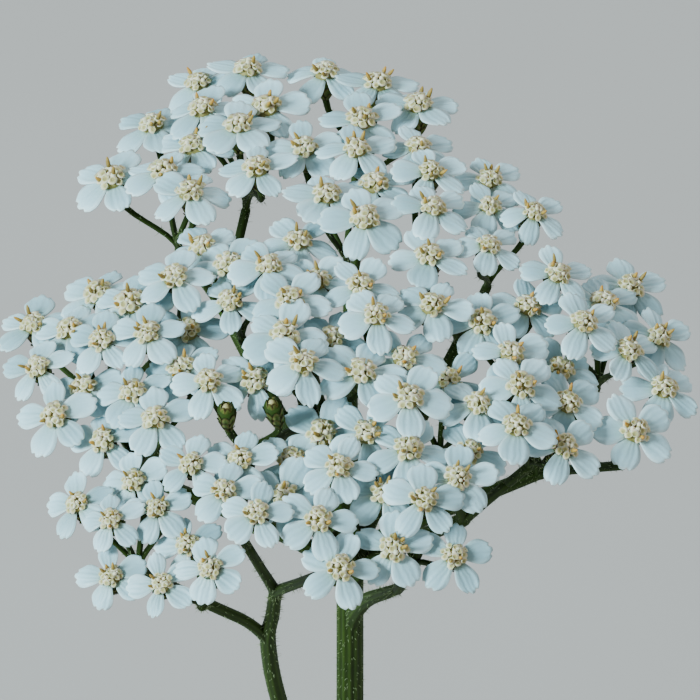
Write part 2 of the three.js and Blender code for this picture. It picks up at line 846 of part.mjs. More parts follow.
function stemRadius(height) {
  const foot = SOIL_TOP - STEM_DEPTH_IN_SOIL;
  return mix(STEM_FOOT_RADIUS, STEM_TOP_RADIUS, (height - foot) / (DOME_TOP - FORK_BELOW_DOME - foot));
}

function stemLeaves() {
  const leaves = [];
  for (let i = 0; i < STEM_LEAF_COUNT; i += 1) {
    const share = i / (STEM_LEAF_COUNT - 1);
    const height = SOIL_TOP + STEM_LEAF_FIRST + STEM_LEAF_STEP * i;
    const heading = radians(STEM_LEAF_START + GOLDEN_ANGLE * i);
    const seat = stemRadius(height) + GAP + 0.35;
    leaves.push({
      name: `stem_leaf_${i + 1}`,
      foot: new THREE.Vector3(seat * Math.cos(heading), seat * Math.sin(heading), height),
      heading,
      length: mix(STEM_LEAF_LONGEST, STEM_LEAF_SHORTEST, share),
      petiole: 5,
      halfWidth: mix(9, 6, share),
      pairs: STEM_LEAF_PAIRS,
      rise: radians(58),
      end: radians(-12),
      roll: radians((draw(300 + i, 1) - 0.5) * 24),
      vee: 0.2,
    });
  }
  return leaves;
}

// The materials

function material(colour, roughness) {
  return new THREE.MeshStandardMaterial({ color: colour, roughness, metalness: 0 });
}

const clay = material(0xb5653f, 0.85);
const earth = material(0x3b2a1f, 0.95);
const stemGreen = material(0x4a5e2f, 0.7);
const leafGreen = material(0x56713c, 0.7);
const petalWhite = material(0xdfe6ec, 0.6);

// The whole plant in its pot
function assemble() {
  const plant = new THREE.Group();
  const heads = allHeads();
  const tips = [];
  for (const spray of SPRAYS) {
    const own = heads.filter((head) => head.spray === spray.name);
    const fork = sprayFork(own, spray.forkDepth);
    const hub = hubPoint(spray.hub);
    const direction = fork.clone().sub(hub).normalize();
    const foot = fork.clone().addScaledVector(direction, -PEDUNCLE_LENGTH);
    tips.push({ hub: spray.hub, to: foot.clone().addScaledVector(direction, -GAP) });
    plant.add(meshOf(`spray_${spray.name}`, spraySolid(own, fork, foot), petalWhite));
  }
  plant.add(meshOf('stem', stemSolid(tips), stemGreen));
  const rosette = rosetteLeaves();
  for (const leaf of rosette.concat(stemLeaves())) {
    plant.add(meshOf(leaf.name, leafSolid(leaf), leafGreen));
  }
  plant.add(meshOf('soil', makeSoil([stemHole(), ...rosette.map(leafHole)]), earth));
  plant.add(meshOf('pot', makePot(), clay));
  return plant;
}

export default assemble();
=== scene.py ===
# %% [markdown]
# # A yarrow in a clay pot
# The plant is one flowering stem under a flat-topped cluster of small white heads, with feathery
# leaves up the stem and round its foot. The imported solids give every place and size. The cells
# below make the surface that the eye sees: rays, florets, bracts, hairs, leaf segments, soil
# crumbs and fired clay. Everything is in metres, in the solids' own frame.

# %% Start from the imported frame
import math
import random

import bmesh
import bpy
import numpy as np
from mathutils import Matrix, Vector, noise


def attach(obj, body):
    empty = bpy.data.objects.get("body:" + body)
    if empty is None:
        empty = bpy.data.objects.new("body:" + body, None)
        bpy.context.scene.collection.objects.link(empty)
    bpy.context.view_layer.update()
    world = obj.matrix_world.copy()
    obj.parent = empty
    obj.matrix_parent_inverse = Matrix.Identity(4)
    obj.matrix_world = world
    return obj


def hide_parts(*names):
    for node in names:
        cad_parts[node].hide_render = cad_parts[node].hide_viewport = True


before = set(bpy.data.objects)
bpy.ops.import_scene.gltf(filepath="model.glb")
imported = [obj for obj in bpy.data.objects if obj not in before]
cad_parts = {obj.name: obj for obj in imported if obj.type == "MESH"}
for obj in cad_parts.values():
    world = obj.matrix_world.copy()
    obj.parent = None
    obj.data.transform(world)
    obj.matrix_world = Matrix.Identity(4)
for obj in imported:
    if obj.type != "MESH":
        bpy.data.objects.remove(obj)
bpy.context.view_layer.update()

# %% [markdown]
# ## The measures
# The real plant is measured in millimetres, so the values below are too, and `MM` turns them to
# metres at the very end. A second list of sizes in metres would work as well, but nobody thinks
# of a petal as 0.0024 of anything.

# %% Driving dimensions, in millimetres
MM = 0.001
POT_HEIGHT = 105.0
POT_BASE_RADIUS = 41.0
POT_RIM_RADIUS = 61.0
POT_WALL = 5.0
POT_FLOOR = 7.0
RIM_BAND = 22.0
RIM_STEP = 3.5
DRAIN_HOLES = 3
DRAIN_RADIUS = 4.5
DRAIN_RING = 20.0
SOIL_TOP = POT_HEIGHT - 12.0
SOIL_LUMP = 1.6
GAP = 0.3

DOME_TOP = 335.0
DOME_DROP = 8.5
DOME_HALF_WIDTH = 38.0
DOME_HALF_DEPTH = 42.0

HEAD_RADIUS = 3.7
RAY_COUNT = 5
CUP_LENGTH = 3.6
BUD_LENGTH = 4.6

PEDUNCLE_LENGTH = 5.0
STEM_TOP_RADIUS = 1.5
STEM_FOOT_RADIUS = 2.2
STEM_DEPTH_IN_SOIL = 30.0
FORK_BELOW_DOME = 44.0

RIB_HALF_WIDTH = 1.1
LEAF_FOOT_IN_SOIL = 8.0
GOLDEN_ANGLE = math.radians(137.5)

print("plant", DOME_TOP, "mm tall, cluster", 2 * DOME_HALF_WIDTH, "mm wide")

# %% [markdown]
# ## Chance that repeats
# A plant is irregular, but the file has to give the same plant each time. There are two kinds of
# chance here. `draw` depends only on an item's number and on a purpose, as in the solids, so the
# heads and leaves land where the solids have them. It stirs the two numbers with a common linear
# congruential generator, whose large factors are well tried. Fine detail, which the solids don't
# have, comes from Python's own generator, seeded with the name of what it is used for.

# %% A repeatable draw between 0 and 1
ITEM_STRIDE = 7919
PURPOSE_STRIDE = 104729
FIRST_VALUE = 12345
MIX_FACTOR = 1664525
MIX_STEP = 1013904223
VALUE_RANGE = 2 ** 32


def draw(item, purpose):
    value = (item * ITEM_STRIDE + purpose * PURPOSE_STRIDE + FIRST_VALUE) % VALUE_RANGE
    for _ in range(3):
        value = (value * MIX_FACTOR + MIX_STEP) % VALUE_RANGE
    return value / VALUE_RANGE


def between(low, high, item, purpose):
    return low + (high - low) * draw(item, purpose)


print("three draws:", [round(draw(i, 1), 3) for i in range(3)])

# %% [markdown]
# ## Where each head stands
# The middle of every head was read off the picture, as pixels across and down. A point of a
# flat picture is a whole line in space, so one more rule is needed: the heads stand on a low
# dome. From the viewing angle and the scale follows each head's place on it. The heads are kept
# in the sprays that share a stalk, each with the fork it grows from. In some sprays the rays look
# larger or smaller than an average head's, and `GROWTH` holds by how much.

# %% The heads, as read off the picture
SPRAYS = {
    "back_left_outer": ("back_left", [(110, 173), (151, 119), (161, 166), (189, 187), (196, 138)]),
    "back_left_inner": (
        "back_left", [(198, 77), (201, 105), (247, 63), (235, 120), (266, 101), (256, 162)]),
    "back_outer": ("back", [(325, 66), (378, 77), (419, 99), (362, 114)]),
    "back_inner": ("back", [(304, 142), (357, 144), (326, 190), (374, 178), (365, 213)]),
    "back_right_inner": ("back_right", [(419, 141), (431, 166), (433, 202), (430, 251)]),
    "back_right_outer": ("back_right", [(491, 176), (495, 199), (531, 206), (490, 240)]),
    "middle_left": ("middle", [(204, 244), (225, 257), (228, 296), (268, 261)]),
    "middle_back": ("middle", [(298, 236), (316, 278), (294, 311)]),
    "middle_right": ("middle", [(362, 285), (368, 318), (340, 333), (433, 301)]),
    "middle_front": ("middle", [(279, 340), (264, 371), (312, 371), (362, 368)]),
    "left_back": ("left", [(97, 289), (137, 297), (166, 279), (183, 322)]),
    "left_outer": ("left", [(35, 322), (69, 327), (35, 363), (110, 341), (136, 330)]),
    "left_front": (
        "left", [(86, 378), (54, 411), (102, 437), (132, 389), (153, 414), (174, 360)]),
    "right_back": ("right", [(483, 318), (536, 296), (552, 275), (512, 353)]),
    "right_outer": ("right", [(607, 297), (631, 284), (660, 334), (637, 347), (580, 326)]),
    "right_tip": ("right", [(662, 382), (637, 427)]),
    "right_front": ("right_front", [(568, 357), (568, 399), (562, 443), (520, 423), (507, 383)]),
    "right_inner": ("right_front", [(450, 383), (472, 441), (482, 398), (401, 348)]),
    "front_back": ("front", [(316, 415), (363, 426), (401, 403), (405, 438)]),
    "front_middle": ("front", [(287, 452), (286, 482), (350, 466)]),
    "front_low": ("side_top", [(322, 523), (336, 560)]),
    "front_left": ("side_top", [(232, 454), (192, 462), (212, 492), (255, 510)]),
    "front_right": ("front_right", [(379, 489), (397, 543), (451, 548), (449, 478), (432, 493)]),
    "side_outer": ("side", [(78, 502), (133, 478), (120, 520), (151, 512), (110, 566)]),
    "side_inner": ("side", [(197, 535), (197, 556), (168, 580)]),
    "late": ("middle", [(224, 379), (236, 407), (266, 406)]),
}
BUDS = {(236, 407), (266, 406)}
GROWTH = {
    "side_outer": 0.84, "side_inner": 0.84, "front_left": 0.92, "back_right_outer": 0.9,
    "back_left_outer": 1.1, "back_left_inner": 1.1, "back_outer": 1.1, "back_inner": 1.08,
    "left_back": 1.06, "left_outer": 0.98, "middle_front": 1.08, "front_back": 1.08,
}

print("sprays:", len(SPRAYS), "heads and buds:", sum(len(s[1]) for s in SPRAYS.values()))

# %% From a picture point to a place on the dome
VIEW_RISE = math.radians(48)
VIEW_DISTANCE = 700.0
PX_PER_MM = 9.0
VIEW_MIDDLE_PX = 350.0
DOME_TOP_PX = 278.0
DOME_ROUNDS = 12
HEAD_SWAY = 0.2
HEAD_OUTWARD = 0.75
HEAD_FORWARD = 0.1


def unit(vector):
    return vector / np.linalg.norm(vector)


def tilted_normal(x, y, item):
    out_x = HEAD_OUTWARD * 2 * DOME_DROP * x / DOME_HALF_WIDTH ** 2
    out_y = HEAD_OUTWARD * 2 * DOME_DROP * y / DOME_HALF_DEPTH ** 2
    lean_x = out_x + (draw(item, 1) - 0.5) * HEAD_SWAY
    lean_y = out_y - HEAD_FORWARD + (draw(item, 2) - 0.5) * HEAD_SWAY
    return unit(np.array([lean_x, lean_y, 1.0]))


def place_on_dome(head):
    across, down = head["pixel"]
    x = y = z = 0.0
    for _ in range(DOME_ROUNDS):
        z = head["lift"] - DOME_DROP * ((x / DOME_HALF_WIDTH) ** 2 + (y / DOME_HALF_DEPTH) ** 2)
        nearer = z * math.sin(VIEW_RISE) - y * math.cos(VIEW_RISE)
        scale = (VIEW_DISTANCE - nearer) / VIEW_DISTANCE / PX_PER_MM
        x = (across - VIEW_MIDDLE_PX) * scale
        rise = (VIEW_MIDDLE_PX - down) * scale - (VIEW_MIDDLE_PX - DOME_TOP_PX) / PX_PER_MM
        y = (rise - z * math.cos(VIEW_RISE)) / math.sin(VIEW_RISE)
    head["at"] = np.array([x, y, z])
    head["normal"] = tilted_normal(x, y, head["item"])


print("the dome's middle is read at pixel", (VIEW_MIDDLE_PX, DOME_TOP_PX))

# %% [markdown]
# ## Room for every head
# Read by eye, some heads would share the same air. On the real plant the rays of one slide over
# the rays of the next. Two simple rules do the same here: heads that are too close are pushed
# apart on the plan, and of two heads whose rays would meet, the higher one rises and the lower
# one sinks. A physics simulation could do it too, but it would be slower and harder to repeat.

# %% The two rules for room
HEAD_SPACING = 5.2
HEAD_SIZES = (0.94, 1.05)
RAY_CLEARANCE = 1.05
LARGEST_STEP = 0.4
SETTLE_ROUNDS = 30
SETTLE_PASSES = 3
RIM_POINTS = 10
RIM_ANGLES = np.arange(RIM_POINTS) / RIM_POINTS * 2 * math.pi
BACK = np.array([0.0, 1.0, 0.0])
UP = np.array([0.0, 0.0, 1.0])


def spread_apart(heads):
    for _ in range(SETTLE_ROUNDS):
        for i, head in enumerate(heads):
            for other in heads[i + 1:]:
                x = other["at"][0] - head["at"][0]
                y = other["at"][1] - head["at"][1]
                distance = math.hypot(x, y)
                if distance < HEAD_SPACING:
                    push = (HEAD_SPACING - distance) / 2 / distance
                    step = np.array([x * push, y * push, 0.0])
                    head["at"] = head["at"] - step
                    other["at"] = other["at"] + step


def rays_too_close(head, other, side):
    across = unit(np.cross(BACK, head["normal"]))
    over = np.cross(head["normal"], across)
    ring = np.outer(np.cos(RIM_ANGLES), across) + np.outer(np.sin(RIM_ANGLES), over)
    points = head["at"] + ring * head["radius"] - other["at"]
    heights = points @ other["normal"]
    outward = np.sqrt(np.maximum(0, (points ** 2).sum(axis=1) - heights ** 2))
    over_other = outward < other["radius"]
    return max(0.0, (RAY_CLEARANCE - side * heights[over_other]).max()) if over_other.any() else 0.0


def lift_clear(heads):
    for _ in range(SETTLE_ROUNDS):
        for i, head in enumerate(heads):
            for other in heads[i + 1:]:
                apart = head["at"] - other["at"]
                if math.sqrt(apart @ apart) < head["radius"] + other["radius"]:
                    side = 1 if apart @ other["normal"] >= 0 else -1
                    move = max(rays_too_close(head, other, side), rays_too_close(other, head, -side))
                    step = min(move / 2, LARGEST_STEP) * side
                    for one, change in ((head, step), (other, -step)):
                        one["at"] = one["at"] + UP * change
                        one["lift"] += change


print("rays of two heads stay", RAY_CLEARANCE, "mm apart")

# %% Stand the heads on the dome
heads = []
for spray, (hub, pixels) in SPRAYS.items():
    for pixel in pixels:
        item = len(heads)
        size = between(*HEAD_SIZES, item, 3)
        heads.append({
            "item": item, "pixel": pixel, "spray": spray, "bud": pixel in BUDS,
            "lift": 0.0, "size": size, "radius": HEAD_RADIUS * size,
        })
for _ in range(SETTLE_PASSES):
    for head in heads:
        place_on_dome(head)
    spread_apart(heads)
    lift_clear(heads)
for head in heads:
    head["at"] = head["at"] + UP * DOME_TOP

print("highest head at", round(max(head["at"][2] for head in heads), 1), "mm")

# %% [markdown]
# ## Copies without instances
# A cluster has a hundred heads with thousands of florets, and Blender would usually show them as
# instances. The finished model has to be plain meshes, so a template is modelled once with bmesh
# operators, and `gather` lays its placed copies end to end in one mesh. A template can carry
# marks, which are numbers on its points that the materials read later.

# %% Templates and their marks
def marked_model(mark_name):
    model = bmesh.new()
    return model, model.verts.layers.float.new(mark_name)


def template(name, model):
    mesh = bpy.data.meshes.new(name)
    model.to_mesh(mesh)
    model.free()
    return mesh


def set_mark(mesh, mark_name, values):
    layer = mesh.attributes.new(mark_name, "FLOAT", "POINT")
    layer.data.foreach_set("value", values)


def triangles(mesh):
    return sum(len(face.vertices) - 2 for face in mesh.polygons)


print("templates are ready")


# %% Gather placed copies in one mesh
def read_template(mesh, marks):
    points = np.empty(len(mesh.vertices) * 3)
    corners = np.empty(len(mesh.loops), dtype=np.int64)
    starts = np.empty(len(mesh.polygons), dtype=np.int64)
    mesh.vertices.foreach_get("co", points)
    mesh.loops.foreach_get("vertex_index", corners)
    mesh.polygons.foreach_get("loop_start", starts)
    values = {}
    for mark in marks:
        values[mark] = np.zeros(len(mesh.vertices))
        if mark in mesh.attributes:
            mesh.attributes[mark].data.foreach_get("value", values[mark])
    return points.reshape(-1, 3), corners, starts, values


def gather(name, placed, marks=()):
    cache = {}
    points, corners, starts = [], [], []
    values = {mark: [] for mark in marks}
    point_count = corner_count = 0
    for mesh, place in placed:
        if mesh.name not in cache:
            cache[mesh.name] = read_template(mesh, marks)
        own_points, own_corners, own_starts, own_values = cache[mesh.name]
        place = np.asarray(place)
        points.append(own_points @ place[:3, :3].T + place[:3, 3])
        corners.append(own_corners + point_count)
        starts.append(own_starts + corner_count)
        point_count += len(own_points)
        corner_count += len(own_corners)
        for mark in marks:
            values[mark].append(own_values[mark])
    mesh = bpy.data.meshes.new(name)
    mesh.vertices.add(point_count)
    mesh.loops.add(corner_count)
    mesh.polygons.add(sum(len(one) for one in starts))
    mesh.vertices.foreach_set("co", np.concatenate(points).ravel())
    mesh.loops.foreach_set("vertex_index", np.concatenate(corners))
    mesh.polygons.foreach_set("loop_start", np.concatenate(starts))
    for mark in marks:
        set_mark(mesh, mark, np.concatenate(values[mark]))
    mesh.update(calc_edges=True)
    return mesh


def move_points(mesh, move):
    points = np.empty(len(mesh.vertices) * 3)
    mesh.vertices.foreach_get("co", points)
    mesh.vertices.foreach_set("co", move(points.reshape(-1, 3)).ravel())
    mesh.update()
    return mesh


print("gathering is ready")


# %% From a mesh to a piece of the plant
def put_in_scene(name, data):
    thing = bpy.data.objects.new(name, data)
    bpy.context.scene.collection.objects.link(thing)
    return thing


def piece(name, mesh, finish, nodes):
    thing = put_in_scene(name, mesh)
    mesh.shade_smooth()
    mesh.materials.append(finish)
    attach(thing, "root")
    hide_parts(*nodes)
    return thing


print("pieces take the place of the packed solids")


# %% Small helpers for places
def turn_about(axis, angle):
    return np.array(Matrix.Rotation(angle, 4, axis))


def shift(x, y, z):
    return np.array(Matrix.Translation((x, y, z)))


def stretch(x, y, z):
    return np.diag([x, y, z, 1.0])


def sized(size):
    return stretch(size, size, size)


def stand(origin, normal, turn=0.0):
    across = unit(np.cross(BACK, normal))
    over = np.cross(normal, across)
    place = np.eye(4)
    place[:3, 0] = across
    place[:3, 1] = over
    place[:3, 2] = normal
    place[:3, 3] = origin
    return place @ turn_about("Z", turn)


HERE = np.eye(4)
TO_METRES = sized(MM)
print("a head's place:", np.round(stand(heads[0]["at"], heads[0]["normal"])[:3, 3], 1))

# %% [markdown]
# ## Materials
# Every finish is a small net of nodes on one Principled shader. Object coordinates are metres, so
# a noise scale of 1000 has features of about a millimetre. What follows a petal or a stem reads
# the marks that the templates carry. What is the same all over is set on the shader itself.

# %% A finish and its patterns
def new_finish(name, roughness):
    finish = bpy.data.materials.new(name)
    finish.use_nodes = True
    net = finish.node_tree
    shader = net.nodes["Principled BSDF"]
    shader.inputs["Roughness"].default_value = roughness
    return finish, net, shader


def add(net, kind, **settings):
    node = net.nodes.new(kind)
    for key, value in settings.items():
        setattr(node, key, value)
    return node


def speckle(net, scale, detail=3.0, roughness=0.55):
    where = add(net, "ShaderNodeTexCoord")
    pattern = add(net, "ShaderNodeTexNoise")
    pattern.inputs["Scale"].default_value = scale
    pattern.inputs["Detail"].default_value = detail
    pattern.inputs["Roughness"].default_value = roughness
    net.links.new(where.outputs["Object"], pattern.inputs["Vector"])
    return pattern.outputs["Fac"]


print("patterns are ready")


# %% Building blocks that mix colours and numbers
# A Mix node has sockets for several kinds of values, and these are the numbers of its colours.
FIRST_COLOUR = 6
SECOND_COLOUR = 7
MIXED_COLOUR = 2


def mark(net, name):
    return add(net, "ShaderNodeAttribute", attribute_name=name).outputs["Fac"]


def ramp(net, source, stops):
    node = add(net, "ShaderNodeValToRGB")
    while len(node.color_ramp.elements) < len(stops):
        node.color_ramp.elements.new(0.5)
    for element, (place, colour) in zip(node.color_ramp.elements, stops):
        element.position = place
        element.color = (*colour, 1.0)
    net.links.new(source, node.inputs["Fac"])
    return node.outputs["Color"]


def feed(net, socket, value):
    if isinstance(value, bpy.types.NodeSocket):
        net.links.new(value, socket)
    elif isinstance(value, tuple):
        socket.default_value = (*value, 1.0)
    else:
        socket.default_value = value


def blend_colours(net, share, first, second, mode="MIX"):
    node = add(net, "ShaderNodeMix", data_type="RGBA", blend_type=mode)
    feed(net, node.inputs["Factor"], share)
    feed(net, node.inputs[FIRST_COLOUR], first)
    feed(net, node.inputs[SECOND_COLOUR], second)
    return node.outputs[MIXED_COLOUR]


def reckon(net, operation, first, second=0.0):
    node = add(net, "ShaderNodeMath", operation=operation)
    for socket, value in zip(node.inputs, (first, second)):
        feed(net, socket, value)
    return node.outputs["Value"]


def emboss(net, shader, heights, strength, distance):
    """Relief by one bump node on another; the distance is in metres."""
    normal = None
    for height in heights:
        node = add(net, "ShaderNodeBump")
        node.inputs["Strength"].default_value = strength
        node.inputs["Distance"].default_value = distance
        net.links.new(height, node.inputs["Height"])
        if normal:
            net.links.new(normal, node.inputs["Normal"])
        normal = node.outputs["Normal"]
    net.links.new(normal, shader.inputs["Normal"])


print("node helpers are ready")


# %% [markdown]
# ### Petals
# A ray is white, but never one flat white. Its colour is painted darker towards its foot, where a
# greenish tinge of its own mixes with painted shade from the head, and brighter towards its tip as
# a painted highlight. Its bluish tint is the blue cast of daylight, painted in, a painted highlight
# whitens its thin edge, and painted shade darkens some rays picked at random. Each of these
# follows a mark. Subsurface scattering lets some light through, to a depth of half a millimetre.

# %% The petals' finish
# The colour of a painted highlight along the rays' thin edges.
EDGE_HIGHLIGHT_COLOUR = (0.88, 1.0, 1.0)
VEIN_COUNT = 15.0
VEIN_DRIFT = 7.0


def petal_finish():
    finish, net, shader = new_finish("petal", 0.5)
    # Painted light along the ray: darker towards its foot as painted shade from the head, over a green
    # tinge of its own, brightest at its tip as a painted highlight, and tinted by daylight's blue cast
    # painted in.
    along = ramp(net, mark(net, "along"), [
        (0.0, (0.34, 0.43, 0.31)),
        (0.2, (0.40, 0.57, 0.60)),
        (0.6, (0.49, 0.71, 0.79)),
        (0.9, (0.62, 0.88, 0.97)),
        (1.0, (0.84, 1.0, 1.0)),
    ])
    # Painted highlight: the rays' thin edges are whitened.
    edge = reckon(net, "POWER", reckon(net, "ABSOLUTE", mark(net, "across")), 5.0)
    lit = blend_colours(net, reckon(net, "MULTIPLY", edge, 0.6), along, EDGE_HIGHLIGHT_COLOUR)
    cloud = ramp(net, speckle(net, 380.0), [(0.3, (0.84, 0.87, 0.89)), (0.68, (1.0, 1.0, 1.0))])
    clouded = blend_colours(net, 0.75, lit, cloud, "MULTIPLY")
    # Painted shade: rays picked at random are darkened to a grey-green.
    ray_shade = ramp(net, mark(net, "ray_shade"), [(0.0, (1.0, 1.0, 1.0)), (1.0, (0.70, 0.74, 0.74))])
    net.links.new(blend_colours(net, 1.0, clouded, ray_shade, "MULTIPLY"), shader.inputs["Base Color"])
    shader.inputs["Subsurface Weight"].default_value = 0.2
    shader.inputs["Subsurface Radius"].default_value = (0.8, 0.9, 1.0)
    shader.inputs["Subsurface Scale"].default_value = 0.0005
    drift = reckon(net, "MULTIPLY", speckle(net, 700.0), VEIN_DRIFT)
    straight = reckon(net, "MULTIPLY", mark(net, "across"), VEIN_COUNT)
    veins = reckon(net, "SINE", reckon(net, "ADD", straight, drift))
    emboss(net, shader, [veins, speckle(net, 2600.0)], strength=0.26, distance=0.00006)
    return finish


PETAL = petal_finish()
print("finish:", PETAL.name)


# %% [markdown]
# ### Florets and anthers
# The disc is a dome of tiny cream stars, and the ones in flower push out a golden tube of pollen.
# One mark goes from cream through olive to gold, so one colour ramp can paint all of them. Its
# darker steps, olive to nearly black, are painted shade: on the florets' sides, in their olive
# throats, on the core between them and at the feet of the anthers.

# %% The disc's finish
def disc_finish():
    finish, net, shader = new_finish("floret", 0.65)
    # Cream lobes and gold anther tips are the florets' own colours; the darker olive to nearly black
    # steps between them are painted shade.
    ripe_and_shade = ramp(net, mark(net, "ripe_and_shade"), [
        (0.0, (0.94, 0.87, 0.74)),
        (0.2, (0.72, 0.65, 0.34)),
        (0.4, (0.31, 0.26, 0.07)),
        (0.55, (0.055, 0.07, 0.02)),
        (0.7, (0.25, 0.18, 0.04)),
        (0.85, (0.52, 0.31, 0.05)),
        (1.0, (0.62, 0.28, 0.03)),
    ])
    fleck = ramp(net, speckle(net, 1500.0), [(0.32, (0.72, 0.68, 0.56)), (0.62, (1.0, 1.0, 1.0))])
    net.links.new(blend_colours(net, 0.7, ripe_and_shade, fleck, "MULTIPLY"), shader.inputs["Base Color"])
    shader.inputs["Subsurface Weight"].default_value = 0.15
    shader.inputs["Subsurface Scale"].default_value = 0.0004
    emboss(net, shader, [speckle(net, 5200.0)], strength=0.5, distance=0.00006)
    return finish


FLORET = disc_finish()
print("finish:", FLORET.name)


# %% [markdown]
# ### Bracts, stalks, stem and leaves
# Yarrow's green is greyed by down. One mark called `tone` carries what the colour follows: dark in
# the grooves of a stalk, paler on its ridges, brown at the thin edge of a bract and palest on a
# hair. Stem and stalks share one ramp, so a stalk goes on in the colour of the stem that it leaves.
# A noise breaks the green up, so that no two stretches match.

# %% The green finishes
def green_finish(name, stops, scale, roughness):
    finish, net, shader = new_finish(name, roughness)
    base = ramp(net, mark(net, "tone"), stops)
    cloud = ramp(net, speckle(net, scale), [(0.3, (0.66, 0.72, 0.6)), (0.72, (1.1, 1.1, 1.0))])
    net.links.new(blend_colours(net, 0.85, base, cloud, "MULTIPLY"), shader.inputs["Base Color"])
    shader.inputs["Specular IOR Level"].default_value = 0.16
    shader.inputs["Sheen Weight"].default_value = 0.02
    shader.inputs["Sheen Roughness"].default_value = 0.5
    emboss(net, shader, [speckle(net, scale * 7)], strength=0.4, distance=0.00008)
    return finish


STALK_STOPS = [
    (0.0, (0.012, 0.024, 0.002)),
    (0.25, (0.022, 0.043, 0.004)),
    (0.45, (0.040, 0.076, 0.008)),
    (0.6, (0.085, 0.122, 0.020)),
    (0.75, (0.15, 0.160, 0.036)),
    (0.88, (0.12, 0.075, 0.024)),
    (1.0, (0.34, 0.40, 0.22)),
]
LEAF_STOPS = [
    (0.0, (0.036, 0.085, 0.016)),
    (0.5, (0.072, 0.145, 0.032)),
    (1.0, (0.17, 0.24, 0.085)),
]
BRACT = green_finish("bract", STALK_STOPS, 700.0, 0.7)
STEM = green_finish("stem", STALK_STOPS, 260.0, 0.62)
LEAF = green_finish("leaf", LEAF_STOPS, 160.0, 0.6)
print("finishes:", BRACT.name, STEM.name, LEAF.name)


# %% [markdown]
# ### Soil and clay
# Compost is dark, moist and full of small pale fibres. Fired clay is orange with soft cloudy
# patches, a pale mineral bloom that grows towards the rim, and fine lines where it was turned.
# Both get their relief from noise. A photograph of clay or soil would show more, but only from the
# side it was taken, while a noise has no seam and no edge.

# %% The soil's finish
GRIT_COLOUR = (0.62, 0.60, 0.55)


def soil_finish():
    finish, net, shader = new_finish("compost", 0.92)
    grain = ramp(net, speckle(net, 260.0, 6.0, 0.7), [
        (0.32, (0.016, 0.011, 0.008)),
        (0.52, (0.048, 0.032, 0.021)),
        (0.66, (0.10, 0.066, 0.040)),
        (0.78, (0.20, 0.15, 0.10)),
    ])
    pale = blend_colours(net, mark(net, "grit"), grain, GRIT_COLOUR)
    net.links.new(pale, shader.inputs["Base Color"])
    relief = [speckle(net, 420.0, 5.0), speckle(net, 1800.0)]
    emboss(net, shader, relief, strength=0.8, distance=0.0006)
    return finish


COMPOST = soil_finish()
print("finish:", COMPOST.name)

# %% The clay's finish
BLOOM_COLOUR = (0.62, 0.50, 0.40)
TURNING_LINES = 5200.0


def clay_finish():
    finish, net, shader = new_finish("fired_clay", 0.82)
    cloud = ramp(net, speckle(net, 22.0, 5.0), [
        (0.28, (0.36, 0.135, 0.06)),
        (0.5, (0.46, 0.19, 0.09)),
        (0.74, (0.54, 0.25, 0.13)),
    ])
    where = add(net, "ShaderNodeTexCoord")
    height = add(net, "ShaderNodeSeparateXYZ")
    net.links.new(where.outputs["Object"], height.inputs["Vector"])
    level = reckon(net, "MULTIPLY", height.outputs["Z"], 1 / (POT_HEIGHT * MM))
    bloom = ramp(net, speckle(net, 46.0, 6.0, 0.65), [(0.47, (0, 0, 0)), (0.68, (1, 1, 1))])
    rim = reckon(net, "MULTIPLY", reckon(net, "POWER", level, 2.5), 0.55)
    share = reckon(net, "MULTIPLY", bloom, rim)
    pale = blend_colours(net, share, cloud, BLOOM_COLOUR)
    pores = ramp(net, speckle(net, 900.0, 2.0), [(0.3, (0.7, 0.66, 0.62)), (0.45, (1, 1, 1))])
    net.links.new(blend_colours(net, 0.6, pale, pores, "MULTIPLY"), shader.inputs["Base Color"])
    ripple = reckon(net, "SINE", reckon(net, "MULTIPLY", height.outputs["Z"], TURNING_LINES))
    waver = reckon(net, "MULTIPLY", ripple, speckle(net, 30.0))
    emboss(net, shader, [waver, speckle(net, 700.0)], strength=0.25, distance=0.00025)
    return finish


CLAY = clay_finish()
print("finish:", CLAY.name)

# %% [markdown]
# ## One ray
# A ray is a broad strap with a rounded end that is nicked into three teeth, and two faint grooves
# run from the nicks to its foot. A flat grid is the easiest start, because each of its points
# already knows how far along and across it lies: those two numbers place it on the outline, and
# the same two numbers stay behind as marks. A solidify then gives it the thickness of a petal.
# Ten rays, each bent and cupped a little differently, are enough for five hundred.

# %% The ray's outline
RAY_ROOT = 0.95
RAY_TIP = 4.75
RAY_LENGTH = RAY_TIP - RAY_ROOT
RAY_HALF_WIDTH = 1.56
FOOT_WIDTH = 0.3
WIDENING = 1.05
TIP_STARTS = 0.6
TIP_NARROWS = 0.22
TIP_ROUNDNESS = 0.19
NICK_AT = 0.4
NICK_WIDTH = 0.15
NICK_DEPTH = 0.09


def ray_outline(along, across):
    """How far out a point lies and how wide the ray is there, from two shares of 1."""
    rising = math.sin(math.pi / 2 * min(1.0, FOOT_WIDTH + WIDENING * along)) ** 1.1
    closing = 1 - TIP_NARROWS * max(0.0, (along - TIP_STARTS) / (1 - TIP_STARTS)) ** 2
    pulled_back = TIP_ROUNDNESS * abs(across) ** 2.6
    nick = NICK_DEPTH * math.exp(-((abs(across) - NICK_AT) / NICK_WIDTH) ** 2)
    x = RAY_LENGTH * (along - pulled_back * along ** 2 - nick * along ** 9)
    return x, RAY_HALF_WIDTH * rising * closing


print("a ray is", RAY_LENGTH, "mm long and", 2 * RAY_HALF_WIDTH, "mm wide")

# %% The rays' templates
RAY_VARIANTS = 10
RAY_THICKNESS = 0.12
RAY_SEGMENTS = 8
GROOVE_WIDTH = 0.16
GROOVE_DEPTH = 0.09
BEND = (-0.1, 0.65)
CUPPING = (-0.34, 0.3)
TWIST = (-0.35, 0.35)
WAVE = (-0.12, 0.12)


